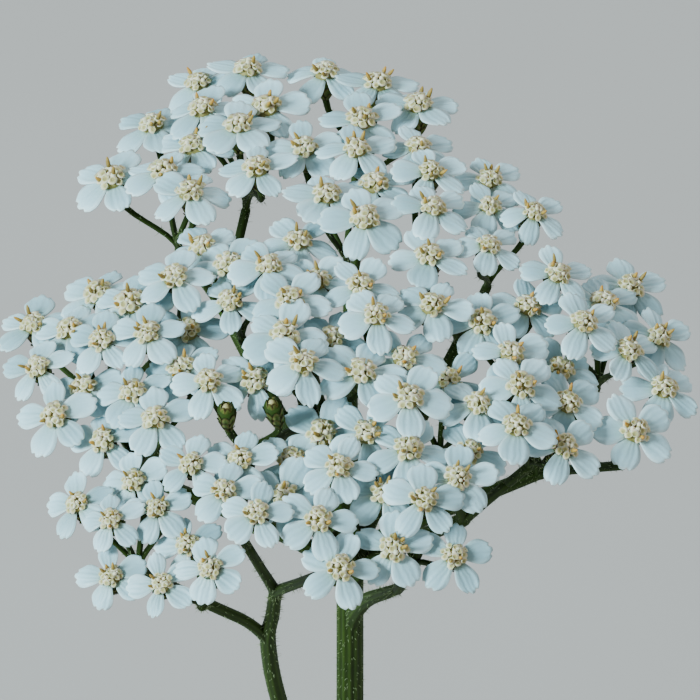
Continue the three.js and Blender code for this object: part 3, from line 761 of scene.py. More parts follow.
def ray_template(variant):
    dice = random.Random(f"ray {variant}")
    bend = dice.uniform(*BEND)
    cup = dice.uniform(*CUPPING)
    twist = dice.uniform(*TWIST)
    wave = dice.uniform(*WAVE)
    model = bmesh.new()
    bmesh.ops.create_grid(model, x_segments=RAY_SEGMENTS, y_segments=RAY_SEGMENTS, size=1.0)
    along_mark = model.verts.layers.float.new("along")
    across_mark = model.verts.layers.float.new("across")
    for vert in model.verts:
        along = (vert.co.x + 1) / 2
        across = math.copysign(abs(vert.co.y) ** 1.3, vert.co.y)
        vert[along_mark] = along
        vert[across_mark] = across
        x, half_width = ray_outline(along, across)
        groove = GROOVE_DEPTH * math.exp(-((abs(across) - NICK_AT) / GROOVE_WIDTH) ** 2)
        z = cup * across ** 2 * along - bend * along ** 2 - groove * math.sin(math.pi * along) ** 0.5
        z += twist * across * along + wave * math.sin(5 * along) * across
        vert.co = (x, across * half_width, z)
    bmesh.ops.solidify(model, geom=model.faces[:], thickness=RAY_THICKNESS)
    bmesh.ops.recalc_face_normals(model, faces=model.faces[:])
    return template(f"ray_{variant}", model)


RAYS = [ray_template(variant) for variant in range(RAY_VARIANTS)]
print("ray templates:", len(RAYS), "with", triangles(RAYS[0]), "triangles each")

# %% [markdown]
# ## The disc
# Each floret is a short funnel that opens in five pointed lobes. It starts as a cone, its upper
# face is inset and pushed down for the throat, and every second point of its rim is drawn out to
# a lobe. Unopened florets are blunt knobs, and the ones in flower carry a tube of anthers.

# %% An open and a closed floret
FLORET_RADIUS = 0.3
FLORET_HEIGHT = 0.7
LOBES = 5
THROAT_INSET = 0.45
THROAT_DEPTH = 0.14
LOBE_REACH = 1.65
LOBE_SAG = 0.04
NOTCH_REACH = 0.9
NOTCH_RISE = 0.02
LOBE_RIPE = 0.0
NOTCH_RIPE = 0.1
KNOB_RIPE = 0.08
# Painted shade: a floret's sides darken towards its foot, and its throat is painted dark olive.
SIDE_SHADE = 0.3
THROAT_SHADE = 0.35


def top_face(model):
    return max(model.faces, key=lambda face: face.calc_center_median().z)


def open_floret():
    model, ripe_and_shade = marked_model("ripe_and_shade")
    bmesh.ops.create_cone(
        model, cap_ends=True, segments=2 * LOBES, radius1=FLORET_RADIUS * 0.5,
        radius2=FLORET_RADIUS, depth=FLORET_HEIGHT)
    bmesh.ops.inset_region(
        model, faces=[top_face(model)], thickness=FLORET_RADIUS * THROAT_INSET, depth=0.0)
    for vert in model.verts:
        reach = math.hypot(vert.co.x, vert.co.y)
        if vert.co.z > 0 and reach < FLORET_RADIUS * 0.8:
            vert.co.z -= THROAT_DEPTH
            vert[ripe_and_shade] = THROAT_SHADE
        elif vert.co.z > 0:
            lobe = math.cos(LOBES * math.atan2(vert.co.y, vert.co.x)) > 0
            vert.co.xy *= LOBE_REACH if lobe else NOTCH_REACH
            vert.co.z += -LOBE_SAG if lobe else NOTCH_RISE
            vert[ripe_and_shade] = LOBE_RIPE if lobe else NOTCH_RIPE
        else:
            vert[ripe_and_shade] = SIDE_SHADE
    return template("floret_open", model)


def closed_floret():
    model, ripe_and_shade = marked_model("ripe_and_shade")
    bmesh.ops.create_uvsphere(model, u_segments=6, v_segments=5, radius=FLORET_RADIUS)
    for vert in model.verts:
        vert.co.z = vert.co.z * 1.3 + 0.08
        vert[ripe_and_shade] = KNOB_RIPE if vert.co.z > 0.2 else SIDE_SHADE
    return template("floret_closed", model)


OPEN = open_floret()
CLOSED = closed_floret()
print("floret triangles:", triangles(OPEN), triangles(CLOSED))

# %% [markdown]
# ### Anthers
# A floret in flower pushes out a slim golden tube that is dusted with pollen. A thin cone is cut
# across twice, a sine swells it to the shape of a candle flame, and an inset draws its end up to a
# blunt point. A stretched sphere would do too, but the real tube has edges along it.

# %% The anther tubes
ANTHER_VARIANTS = 4
ANTHER_FOOT_RADIUS = 0.15
ANTHER_TOP_RADIUS = 0.12
ANTHER_SWELL = 0.75
ANTHER_TIP_INSET = 0.07
ANTHER_TIP_RISE = 0.12
# Painted shade: an anther tube is dark brown at its foot, inside the throat.
ANTHER_FOOT_SHADE = 0.68
STALE_RIPENING = 0.1
FRESH_RIPENING = 0.22


def uprights_of(cylinder):
    return [e for e in cylinder.edges if abs(e.verts[0].co.z - e.verts[1].co.z) > 0.5]


def anther_tube(variant):
    freshness = variant / (ANTHER_VARIANTS - 1)
    model, ripe_and_shade = marked_model("ripe_and_shade")
    bmesh.ops.create_cone(
        model, cap_ends=True, segments=6, radius1=ANTHER_FOOT_RADIUS, radius2=ANTHER_TOP_RADIUS,
        depth=1.0)
    bmesh.ops.subdivide_edges(model, edges=uprights_of(model), cuts=2)
    bmesh.ops.inset_region(
        model, faces=[top_face(model)], thickness=ANTHER_TIP_INSET, depth=ANTHER_TIP_RISE)
    for vert in model.verts:
        height = vert.co.z + 0.5
        vert.co.xy *= 1 + ANTHER_SWELL * math.sin(math.pi * min(1.0, height))
        vert.co.z = height
        # Dark at the foot as painted shade, and gold towards the tip as the tube's own colour.
        vert[ripe_and_shade] = ANTHER_FOOT_SHADE + (STALE_RIPENING + FRESH_RIPENING * freshness) * height
    return template(f"anthers_{variant}", model)


ANTHERS = [anther_tube(variant) for variant in range(ANTHER_VARIANTS)]
print("anther tube triangles:", triangles(ANTHERS[0]))

# %% [markdown]
# ### The florets on their dome
# The florets stand in the spiral that sunflowers also have, one golden angle after another. Their
# distance from the middle grows with a square root, so they are equally crowded everywhere. They
# could be strewn by chance, but then some would overlap and others leave gaps. The youngest are in
# the middle, and some of those are still closed.

# %% The disc's templates
DISC_RADIUS = 1.5
DISC_RISE = 0.9
FLORETS = 17
DISC_VARIANTS = 12
CORE_SHARE = 0.84
# Painted shade: the core that shows between the florets is dark olive.
CORE_SHADE = 0.42
SPIRAL_REACH = DISC_RADIUS * 0.88
FLORET_LIFT = 0.24
RIM_TILT = 0.75
YOUNG_FLORETS = 5
IN_FLOWER = [1, 2, 2, 3, 3, 4]
ANTHER_LENGTHS = (0.75, 1.2)


def disc_core():
    model, ripe_and_shade = marked_model("ripe_and_shade")
    bmesh.ops.create_uvsphere(model, u_segments=10, v_segments=6, radius=DISC_RADIUS * CORE_SHARE)
    for vert in model.verts:
        vert.co.z = vert.co.z * 0.6 + 0.1
        vert[ripe_and_shade] = CORE_SHADE
    return template("disc_core", model)


def disc_template(variant):
    dice = random.Random(f"disc {variant}")
    placed = [(DISC_CORE, HERE)]
    with_anthers = set(dice.sample(range(3, FLORETS - 2), dice.choice(IN_FLOWER)))
    for k in range(FLORETS):
        reach = SPIRAL_REACH * math.sqrt((k + 0.5) / FLORETS)
        angle = k * GOLDEN_ANGLE + dice.uniform(-0.15, 0.15)
        dome = DISC_RISE * (1 - (reach / DISC_RADIUS) ** 2)
        height = FLORET_LIFT + dome + dice.uniform(-0.06, 0.08)
        tilt = RIM_TILT * reach / DISC_RADIUS + dice.uniform(-0.2, 0.2)
        seat = turn_about("Z", angle) @ shift(reach, 0, height) @ turn_about("Y", tilt)
        size = dice.uniform(0.85, 1.15)
        kind = OPEN if k >= YOUNG_FLORETS or dice.random() > 0.5 else CLOSED
        placed.append((kind, seat @ turn_about("Z", dice.uniform(0, 6)) @ sized(size)))
        if k in with_anthers:
            lean = turn_about("X", dice.uniform(-0.3, 0.3))
            length = dice.uniform(*ANTHER_LENGTHS)
            out = lean @ shift(0, 0, 0.12) @ stretch(1, 1, length)
            placed.append((dice.choice(ANTHERS), seat @ out))
    return gather(f"disc_{variant}", placed, ["ripe_and_shade"])


DISC_CORE = disc_core()
DISCS = [disc_template(variant) for variant in range(DISC_VARIANTS)]
print("disc templates:", len(DISCS), "with", triangles(DISCS[0]), "triangles")

# %% [markdown]
# ## The green cup
# Under the rays sits an egg-shaped cup of overlapping bracts, like roof tiles, each with a keel
# and a thin brown edge. The cup itself is a profile that is spun round, and a bract is one small
# grid that is bent to an ovate scale. Three rings of them are laid on the cup from below, so that
# each ring covers the gaps of the next. On a bud, one more ring closes over the top.

# %% A profile spun round the upright axis
def spin_round(model, outline, steps, join_within):
    """The outline is pairs of radius and height, and it starts and ends on the axis."""
    points = [model.verts.new((radius, 0, height)) for radius, height in outline]
    edges = [model.edges.new(pair) for pair in zip(points, points[1:])]
    bmesh.ops.spin(
        model, geom=points + edges, cent=(0, 0, 0), axis=(0, 0, 1), angle=2 * math.pi, steps=steps,
        use_merge=True)
    bmesh.ops.remove_doubles(model, verts=model.verts[:], dist=join_within)
    bmesh.ops.recalc_face_normals(model, faces=model.faces[:])


print("profiles can be spun")

# %% The cup's body and one bract
CUP_RADIUS = 1.25
CUP_FOOT_RADIUS = 0.42
CUP_LEVELS = [-CUP_LENGTH, -3.3, -2.8, -2.1, -1.3, -0.5, 0.05]
CUP_TONE = 0.3
BRACT_LENGTH = 1.75
BRACT_HALF_WIDTH = 0.56
BRACT_THICKNESS = 0.07
BRACT_TONE = 0.5
BRACT_EDGE_TONE = 0.86
KEEL = 0.1
TIP_LEAN = 0.12
SIDE_CURL = 0.15


def cup_radius(height):
    share = min(1.0, max(0.0, (height + CUP_LENGTH) / CUP_LENGTH))
    return CUP_FOOT_RADIUS + (CUP_RADIUS - CUP_FOOT_RADIUS) * math.sin(share * math.pi / 2) ** 0.8


def cup_body():
    model, tone = marked_model("tone")
    outline = [(0, CUP_LEVELS[0]), *((cup_radius(z), z) for z in CUP_LEVELS), (0, CUP_LEVELS[-1])]
    spin_round(model, outline, 10, 0.001)
    for vert in model.verts:
        vert[tone] = CUP_TONE
    return template("cup_body", model)


def bract_scale():
    model, tone = marked_model("tone")
    bmesh.ops.create_grid(model, x_segments=3, y_segments=2, size=1.0)
    for vert in model.verts:
        along = (vert.co.x + 1) / 2
        across = vert.co.y
        half_width = BRACT_HALF_WIDTH * math.sin(math.pi * (0.2 + 0.76 * along)) ** 0.7
        at_edge = max(abs(across), along ** 3)
        vert[tone] = BRACT_TONE + (BRACT_EDGE_TONE - BRACT_TONE) * at_edge ** 2
        keel = KEEL * (1 - abs(across))
        bulge = keel + TIP_LEAN * along ** 2 - SIDE_CURL * (across * half_width) ** 2
        vert.co = (bulge, across * half_width, along * BRACT_LENGTH)
    bmesh.ops.solidify(model, geom=model.faces[:], thickness=BRACT_THICKNESS)
    bmesh.ops.recalc_face_normals(model, faces=model.faces[:])
    return template("bract_scale", model)


CUP_BODY = cup_body()
BRACT_SCALE = bract_scale()
print("bract triangles:", triangles(BRACT_SCALE))

# %% The cup with its rings of bracts
OPEN_RINGS = ((-3.3, 5, 0.78, 0.42), (-2.6, 6, 0.95, 0.28), (-1.75, 7, 1.0, 0.14))
CLOSING_RING = (-0.9, 6, 1.0, -0.42)
SUNK = 0.97


def bract_ring(height, count, size, slope, turned=0.0):
    placed = []
    for k in range(count):
        angle = 2 * math.pi * (k + turned) / count
        seat = turn_about("Z", angle) @ shift(cup_radius(height) * SUNK, 0, height)
        placed.append((BRACT_SCALE, seat @ turn_about("Y", slope) @ stretch(1, size, size)))
    return placed


cup_parts = [(CUP_BODY, HERE)]
for number, ring in enumerate(OPEN_RINGS):
    cup_parts += bract_ring(*ring, turned=number / 2)
CUP = gather("cup", cup_parts, ["tone"])
CLOSED_BRACTS = gather("closed_bracts", bract_ring(*CLOSING_RING), ["tone"])
print("cup triangles:", triangles(CUP), "closing bracts:", CLOSING_RING[1])

# %% [markdown]
# ## Stalks and hairs
# A stalk is a cylinder that is bent along a curve. `create_cone` gives the cylinder, subdividing
# its upright edges gives the rings, and each ring is then moved to its place on the curve. A
# Blender curve with a bevel would make the same tube, but its points couldn't carry marks. The
# down on the stalks is real geometry: slim three-sided spikes, strewn by chance over the skin.
# Where stalks part, a knot hides the seam, as the swelling at a real fork does.

# %% Cylinders and smooth lines
def cylinder_template(sides, rings):
    model = bmesh.new()
    bmesh.ops.create_cone(model, cap_ends=True, segments=sides, radius1=1, radius2=1, depth=1)
    bmesh.ops.subdivide_edges(model, edges=uprights_of(model), cuts=rings - 1)
    return template(f"cylinder_{sides}_{rings}", model)


def curve_through(points, count):
    """Evenly counted places on a Catmull-Rom line through the given points."""
    points = np.array([np.asarray(p, dtype=float) for p in points])
    padded = np.vstack([2 * points[0] - points[1], points, 2 * points[-1] - points[-2]])
    places = []
    for s in np.linspace(0, len(points) - 1, count):
        i = min(int(s), len(points) - 2)
        t = s - i
        a, b, c, d = padded[i:i + 4]
        places.append(0.5 * (2 * b + (c - a) * t + (2 * a - 5 * b + 4 * c - d) * t ** 2
                             + (3 * b - a - 3 * c + d) * t ** 3))
    return np.array(places)


def frames_along(places):
    tangents = np.gradient(places, axis=0)
    tangents /= np.linalg.norm(tangents, axis=1)[:, None]
    across = np.cross(tangents, BACK)
    across /= np.linalg.norm(across, axis=1)[:, None]
    return tangents, across, np.cross(across, tangents)


print("lines can be followed")

# %% A ribbed tube
CYLINDERS = {}
GROOVE_TONE = 0.12
RIDGE_TONE = 0.42
RIB_DEPTH = 0.06


def tube(name, points, radii, sides, rings, ribs):
    """A ribbed tube, with its radii spread evenly from its start to its end."""
    if (sides, rings) not in CYLINDERS:
        CYLINDERS[sides, rings] = cylinder_template(sides, rings)
    mesh = CYLINDERS[sides, rings].copy()
    mesh.name = name
    places = curve_through(points, rings + 1)
    tangents, across, over = frames_along(places)
    widths = np.interp(np.linspace(0, 1, rings + 1), np.linspace(0, 1, len(radii)), radii)
    tone = np.zeros(len(mesh.vertices))

    def bend(flat):
        ring = np.rint((flat[:, 2] + 0.5) * rings).astype(int)
        rib = np.cos(ribs * np.arctan2(flat[:, 1], flat[:, 0]))
        tone[:] = GROOVE_TONE + (RIDGE_TONE - GROOVE_TONE) * (rib + 1) / 2
        reach = (widths[ring] * (1 + RIB_DEPTH * rib))[:, None]
        return places[ring] + across[ring] * flat[:, :1] * reach + over[ring] * flat[:, 1:2] * reach

    move_points(mesh, bend)
    set_mark(mesh, "tone", tone)
    return mesh


print("tubes are ready")

# %% Hairs and knots
HAIR_TONE = 1.0
HAIR_RADIUS = 0.045
HAIR_LENGTH = 0.55
HAIRS_PER_SQUARE_MM = 1.1
HAIR_STEPS = 39
KNOT_STRETCH = 1.1


def hair_template():
    model, tone = marked_model("tone")
    bmesh.ops.create_cone(model, cap_ends=True, segments=3, radius1=HAIR_RADIUS, radius2=0.0, depth=1.0)
    bmesh.ops.remove_doubles(model, verts=model.verts[:], dist=0.001)
    for vert in model.verts:
        vert.co.z += 0.5
        vert[tone] = HAIR_TONE
    return template("hair", model)


def knot_template():
    model, tone = marked_model("tone")
    bmesh.ops.create_uvsphere(model, u_segments=12, v_segments=8, radius=1.0)
    for vert in model.verts:
        vert[tone] = (GROOVE_TONE + RIDGE_TONE) / 2
    return template("knot", model)


def knot_at(place, radius, direction):
    return (KNOT, stand(place, unit(direction)) @ stretch(radius, radius, radius * KNOT_STRETCH))


def hairs_on(points, radii, dice):
    """Places for hairs that stand out of a tube along a curve."""
    places = curve_through(points, HAIR_STEPS + 1)
    tangents, across, over = frames_along(places)
    lengths = np.linalg.norm(np.diff(places, axis=0), axis=1)
    skin = 2 * math.pi * float(np.mean(radii)) * float(lengths.sum())
    placed = []
    for _ in range(int(skin * HAIRS_PER_SQUARE_MM)):
        share = dice.random()
        ring = min(int(share * HAIR_STEPS), HAIR_STEPS - 1)
        t = share * HAIR_STEPS - ring
        angle = dice.uniform(0, 2 * math.pi)
        outward = math.cos(angle) * across[ring] + math.sin(angle) * over[ring]
        forward = tangents[ring] * dice.uniform(-0.3, 0.9)
        lean = outward + forward + across[ring] * dice.uniform(-0.3, 0.3)
        radius = np.interp(share, np.linspace(0, 1, len(radii)), radii)
        start = places[ring] * (1 - t) + places[ring + 1] * t + outward * radius * 0.94
        size = HAIR_LENGTH * dice.uniform(0.5, 1.4)
        placed.append((HAIR, stand(start, unit(lean)) @ stretch(1, 1, size)))
    return placed


HAIR = hair_template()
KNOT = knot_template()
print("hair triangles:", triangles(HAIR), "knot triangles:", triangles(KNOT))

# %% [markdown]
# ## The sprays
# Now the heads can be put together. A spray's stalks part at a fork under the middle of its
# heads, the same point that the solids use. Each stalk leaves the fork upwards and bends until it
# meets its head squarely. Rays, discs and green parts become three pieces, because they have
# three finishes, and together they stand for the spray's solid.
#
# `HUBS` gives the end of each branch, counted from the top of the dome, and the height at which
# the branch leaves the stem. The branch at the front left is longer, so it has a list of points.

# %% The forks of the branches
HUBS = {
    "middle": ((-3, 4, -27), -45),
    "back": ((0, 24, -28), -46),
    "back_right": ((13, 17, -28), -49),
    "back_left": ((-15, 23, -29), -47.5),
    "right": ((22, -1, -31), -47),
    "left": ((-23, -2, -31), -50),
    "right_front": ((13, -9, -30), -50.5),
    "front": ((-2, -13, -29), -46.5),
    "front_right": ((5.5, -14, -36.4), -58),
}
SIDE_BRANCH = [
    (-0.6, -0.6, -106), (-6, -6.4, -78), (-8.7, -9, -61.5), (-9.6, -11, -49.5), (-9, -12.5, -43),
    (-8.6, -14, -37),
]
SIDE_HUB = (-17, -17, -35)
FORK_DEPTH = 9.0
SHALLOW_FORKS = {"front_low": 6.5}
FORK_SPREAD_SHARE = 0.35
FORK_DRAW_IN = 0.92


def under_dome(point):
    return np.array([point[0], point[1], DOME_TOP + point[2]], dtype=float)


def hub_point(name):
    if name == "side":
        return under_dome(SIDE_HUB)
    if name == "side_top":
        return under_dome(SIDE_BRANCH[-1])
    return under_dome(HUBS[name][0])


def spray_fork(spray, own):
    middle = np.mean([head["at"] for head in own], axis=0)
    spread = max(np.linalg.norm(head["at"] - middle) for head in own)
    lowered = middle[2] - SHALLOW_FORKS.get(spray, FORK_DEPTH) - spread * FORK_SPREAD_SHARE
    return np.array([middle[0] * FORK_DRAW_IN, middle[1] * FORK_DRAW_IN, lowered])


print("hubs:", len(HUBS) + 2)


# %% The rays of one head
ANGLE_SWAY = 0.09
DROOP = (-0.08, 0.24)
RAY_LENGTHS = (0.92, 1.06)
RAY_WIDTHS = (0.82, 1.18)
FIRST_LAYER = 0.1
LAYER_STEP = 0.06


def grown(head):
    return head["size"] * GROWTH.get(head["spray"], 1.0)


def head_place(head):
    return stand(head["at"], head["normal"], draw(head["item"], 4) * 2 * math.pi)


def ray_places(head, dice):
    base = head_place(head)
    placed = []
    for k in range(RAY_COUNT):
        angle = 2 * math.pi * k / RAY_COUNT + dice.uniform(-ANGLE_SWAY, ANGLE_SWAY)
        droop = dice.uniform(*DROOP)
        long = grown(head) * dice.uniform(*RAY_LENGTHS)
        wide = grown(head) * dice.uniform(*RAY_WIDTHS)
        layer = FIRST_LAYER + LAYER_STEP * (2 * k % RAY_COUNT)
        seat = turn_about("Z", angle) @ shift(RAY_ROOT, 0, layer) @ turn_about("Y", droop)
        placed.append((dice.choice(RAYS), base @ seat @ stretch(long, wide, 1)))
    return placed


print("a head has", RAY_COUNT, "rays and", FLORETS, "florets")

# %% The stalk and cup of one head
PEDICEL_RADIUS = 0.34
PEDICEL_RADII = [PEDICEL_RADIUS * swell for swell in (1.1, 1, 1, 1.2)]
PEDUNCLE_RADIUS = 0.56
STALK_IN_CUP = 0.2
STALK_IN_FORK = 0.8
LEAVING_REACH = 0.33
ARRIVING_REACH = 0.3
BUD_WIDTH = 0.8


def stalk_points(head, fork, direction, length):
    """A Bezier curve from the fork to the neck of the head's cup."""
    neck = head["at"] - head["normal"] * length
    reach = np.linalg.norm(neck - fork)
    leaving = fork + unit(direction + UP) * reach * LEAVING_REACH
    arriving = neck - head["normal"] * reach * ARRIVING_REACH
    steps = np.linspace(0, 1, 7)[:, None]
    curve = ((1 - steps) ** 3 * fork + 3 * (1 - steps) ** 2 * steps * leaving
             + 3 * (1 - steps) * steps ** 2 * arriving + steps ** 3 * neck)
    return [fork - direction * STALK_IN_FORK, *curve]


def green_places(head, fork, direction, dice):
    length = BUD_LENGTH if head["bud"] else CUP_LENGTH
    line = stalk_points(head, fork, direction, length - STALK_IN_CUP)
    stalk = tube(f"stalk_{head['item']}", line, PEDICEL_RADII, sides=8, rings=8, ribs=4)
    bud_scale = stretch(BUD_WIDTH, BUD_WIDTH, BUD_LENGTH / CUP_LENGTH)
    cup_place = head_place(head) @ (bud_scale if head["bud"] else sized(head["size"]))
    greens = [(stalk, HERE), (CUP, cup_place)]
    if head["bud"]:
        greens.append((CLOSED_BRACTS, cup_place))
    return greens + hairs_on(line, PEDICEL_RADII, dice)


print("stalks are", 2 * PEDICEL_RADIUS, "mm thick")

# %% [markdown]
# ### A bud
# Two heads of the cluster haven't opened. Their rays are still a tight pale knob between the
# closing bracts. The knob is a sphere with five shallow folds round it, one for each ray. Rays that
# are really rolled up could be modelled too, but at this size only the folds would show.

# %% A bud that is about to open
BUD_TIP_RADIUS = 0.55
BUD_TIP_STRETCH = 1.4
BUD_TIP_RIPE = 0.32
FOLD_DEPTH = 0.14


def bud_tip():
    model, ripe_and_shade = marked_model("ripe_and_shade")
    bmesh.ops.create_uvsphere(model, u_segments=10, v_segments=8, radius=BUD_TIP_RADIUS)
    for vert in model.verts:
        fold = FOLD_DEPTH * math.cos(RAY_COUNT * math.atan2(vert.co.y, vert.co.x))
        vert.co.xy *= 1 + fold
        vert.co.z = vert.co.z * BUD_TIP_STRETCH + 0.1
        vert[ripe_and_shade] = BUD_TIP_RIPE
    return template("bud_tip", model)


BUD_TIP = bud_tip()
print("bud tip triangles:", triangles(BUD_TIP))

# %% Build the sprays
spray_triangles = {"rays": 0, "discs": 0, "greens": 0}
forks = {}
for spray, (hub, pixels) in SPRAYS.items():
    dice = random.Random(spray)
    own = [head for head in heads if head["spray"] == spray]
    fork = spray_fork(spray, own)
    direction = unit(fork - hub_point(hub))
    forks[spray] = (fork, direction)
    rays, discs, greens = [], [], []
    for head in own:
        greens += green_places(head, fork, direction, dice)
        size = grown(head)
        if head["bud"]:
            discs.append((BUD_TIP, head_place(head)))
        else:
            rays += ray_places(head, dice)
            turned = head_place(head) @ turn_about("Z", dice.uniform(0, 6))
            discs.append((dice.choice(DISCS), turned @ sized(size)))
    foot = fork - direction * PEDUNCLE_LENGTH
    peduncle = [foot, (foot + fork) / 2, fork]
    radii = [PEDUNCLE_RADIUS] * 3
    greens.append((tube(f"peduncle_{spray}", peduncle, radii, sides=14, rings=8, ribs=5), HERE))
    greens.append(knot_at(fork, PEDUNCLE_RADIUS * 1.02, direction))
    greens += hairs_on(peduncle, radii, dice)
    node = f"spray_{spray}"
    for part, placed, marks, finish, slot in (
        ("rays", rays, ["along", "across"], PETAL, "petal_white"),
        ("discs", discs, ["ripe_and_shade"], FLORET, "disc_cream"),
        ("greens", greens, ["tone"], BRACT, "bract_green"),
    ):
        mesh = gather(f"{node}_{part}", [(one, TO_METRES @ place) for one, place in placed], marks)
        if part == "rays":
            # Painted shade for each ray, by chance: most stay bright and a few are darkened.
            ray_shades = [dice.random() ** 2 for _ in rays]
            set_mark(mesh, "ray_shade", np.repeat(ray_shades, len(RAYS[0].vertices)))
        piece(f"{node}_{part}", mesh, finish, [node])
        spray_triangles[part] += triangles(mesh)
print("sprays:", len(forks), "triangles:", spray_triangles)

# %% [markdown]
# ## The stem and its branches
# The stem is straight and ridged, and the branches curve up from it to the forks. Each is one
# tube, sunk into the next so that no joint shows, and all of them together make one piece. They
# have the same down as the stalks, and it catches the light as a pale fringe.

# %% The main stem
def branch_points(start, end):
    """Four points of a branch that first rises and then leans out."""
    rise = end[2] - start[2]
    lower = start + (end - start) * 0.3 + UP * rise * 0.08
    upper = start + (end - start) * 0.75 + UP * rise * 0.03
    return [start, lower, upper, end]


def branch_start(hub):
    place, height = HUBS[hub]
    outward = unit(np.array([place[0], place[1], 0.0]))
    return under_dome((0, 0, height)) + outward * STEM_TOP_RADIUS * 0.5


stem_parts = []


def add_branch(name, points, radii, sides, rings, ribs):
    stem_parts.append((tube(name, points, radii, sides, rings, ribs), HERE))
    stem_parts.extend(hairs_on(points, radii, random.Random(name)))


STEM_RADII = [STEM_FOOT_RADIUS, 1.85, 1.62, STEM_TOP_RADIUS]
crown = np.array([0.0, 0.0, SOIL_TOP - STEM_DEPTH_IN_SOIL])
stem_end = under_dome((0, 0, -FORK_BELOW_DOME))
main_line = [crown + (stem_end - crown) * t for t in (0, 0.33, 0.66, 1)]
add_branch("main", main_line, STEM_RADII, sides=48, rings=60, ribs=12)
stem_parts.append(knot_at(stem_end, STEM_TOP_RADIUS * 0.98, UP))
print("parts of the bare stem:", len(stem_parts))

# %% The branches
ROOTED = 7.0
FORKED_RADII = [0.6, 1.05, 0.92, 0.84, 0.76]
LONE_RADII = [0.6, 1.05, 0.86, 0.74, 0.62]
SIDE_RADII = [0.6, 1.0, 0.98, 0.96, 0.9, 0.8, 0.72]
OFFSHOOT_RADII = [0.5, 0.72, 0.66, 0.66, 0.66]
OFFSHOOT_AT = 3
arrivals = {}
end_radii = {"side_top": SIDE_RADII[-1], "side": OFFSHOOT_RADII[-1]}
for hub in HUBS:
    start = branch_start(hub)
    line = [under_dome((0, 0, HUBS[hub][1] - ROOTED)), *branch_points(start, hub_point(hub))]
    sprays_here = sum(used == hub for used, pixels in SPRAYS.values())
    radii = FORKED_RADII if sprays_here > 1 else LONE_RADII
    add_branch(f"branch_{hub}", line, radii, sides=24, rings=18, ribs=8)
    arrivals[hub] = unit(line[-1] - line[-2])
    end_radii[hub] = radii[-1]
side_line = [under_dome(point) for point in SIDE_BRANCH]
side_foot = under_dome((0, 0, SIDE_BRANCH[0][2] - ROOTED))
add_branch("side", [side_foot, *side_line], SIDE_RADII, sides=24, rings=40, ribs=8)
arrivals["side_top"] = unit(side_line[-1] - side_line[-2])
parting = side_line[OFFSHOOT_AT]
inside = parting - unit(parting - side_line[OFFSHOOT_AT - 1]) * ROOTED * 0.6
offshoot = [inside, *branch_points(parting, hub_point("side"))]
add_branch("offshoot", offshoot, OFFSHOOT_RADII, sides=20, rings=14, ribs=8)
arrivals["side"] = unit(offshoot[-1] - offshoot[-2])
print("branches:", len(arrivals))

# %% [markdown]
# ### Knots and twigs
# From the end of each branch a twig leads to the fork of every spray. Tubes that meet at an angle
# show a seam, so a knot, a little thicker than the branch's end, is put over it. A Boolean union
# would make one true skin, but it would leave a sharp crease where a real stem swells.

# %% Knots and twigs, and all of it in one piece
HUB_SWELL = 1.16
TWIG_RADII = [0.6, 0.68, 0.58, PEDUNCLE_RADIUS]
TWIG_IN_BRANCH = 1.6
for hub, arrival in arrivals.items():
    stem_parts.append(knot_at(hub_point(hub), end_radii[hub] * HUB_SWELL, arrival))
for spray, (hub, pixels) in SPRAYS.items():
    fork, direction = forks[spray]
    start = hub_point(hub)
    tip = fork - direction * PEDUNCLE_LENGTH
    inside = start - arrivals[hub] * TWIG_IN_BRANCH
    line = [inside, start + direction * 0.6, (start + tip) / 2, tip]
    add_branch(f"twig_{spray}", line, TWIG_RADII, sides=14, rings=10, ribs=5)
stem_mesh = gather("stem", [(mesh, TO_METRES @ place) for mesh, place in stem_parts], ["tone"])
piece("stem_dressed", stem_mesh, STEM, ["stem"])
print("stem triangles:", triangles(stem_mesh))

# %% [markdown]
# ## Feathery leaves
# A yarrow leaf is divided two or three times over: pairs of leaflets along the rib, and each
# leaflet again into narrow pointed segments that stand out on all sides. So the smallest segment
# is modelled first, three of them make a lobe, lobes make a leaflet, and leaflets make a leaf.
# A flat plane with a picture of a leaf on it would be lighter, but it looks like paper from the
# side, and a plant in a pot is seen from all sides.

# %% Segment and lobe
SEGMENT_HALF_WIDTH = 0.085
SEGMENT_HALF_THICKNESS = 0.03
WIDEST_AT = 0.4
SEGMENT_TONES = (0.12, 0.5)


def segment_template():
    """A flat pointed blade from 0 to 1 along X: a sphere of four by two is an octahedron."""
    model, tone = marked_model("tone")
    bmesh.ops.create_uvsphere(model, u_segments=4, v_segments=2, radius=1.0)
    for vert in model.verts:
        along = (vert.co.z + 1) / 2
        vert[tone] = SEGMENT_TONES[0] + (SEGMENT_TONES[1] - SEGMENT_TONES[0]) * along
        at = along if abs(vert.co.z) > 0.5 else WIDEST_AT
        vert.co = (at, vert.co.x * SEGMENT_HALF_WIDTH, vert.co.y * SEGMENT_HALF_THICKNESS)
    return template("segment", model)


SEGMENT = segment_template()
LOBE = gather("lobe", [
    (SEGMENT, HERE),
    (SEGMENT, shift(0.25, 0, 0) @ turn_about("Z", 0.6) @ stretch(0.6, 0.9, 1)),
    (SEGMENT, shift(0.35, 0, 0) @ turn_about("Z", -0.6) @ stretch(0.55, 0.9, 1)),
], ["tone"])
print("segment triangles:", triangles(SEGMENT), "lobe triangles:", triangles(LOBE))

# %% Leaflets
LEAFLET_VARIANTS = 6
LOBE_PAIRS = 9
FIRST_LOBE_AT = 0.06
LOBES_COVER = 0.8
LONGEST_LOBE = 0.29
LOBE_FULLNESS = 1.2
LOBE_SPREAD = (0.7, 1.05)
LOBE_SIZES = (0.8, 1.15)
LOBE_TWIST = 1.0


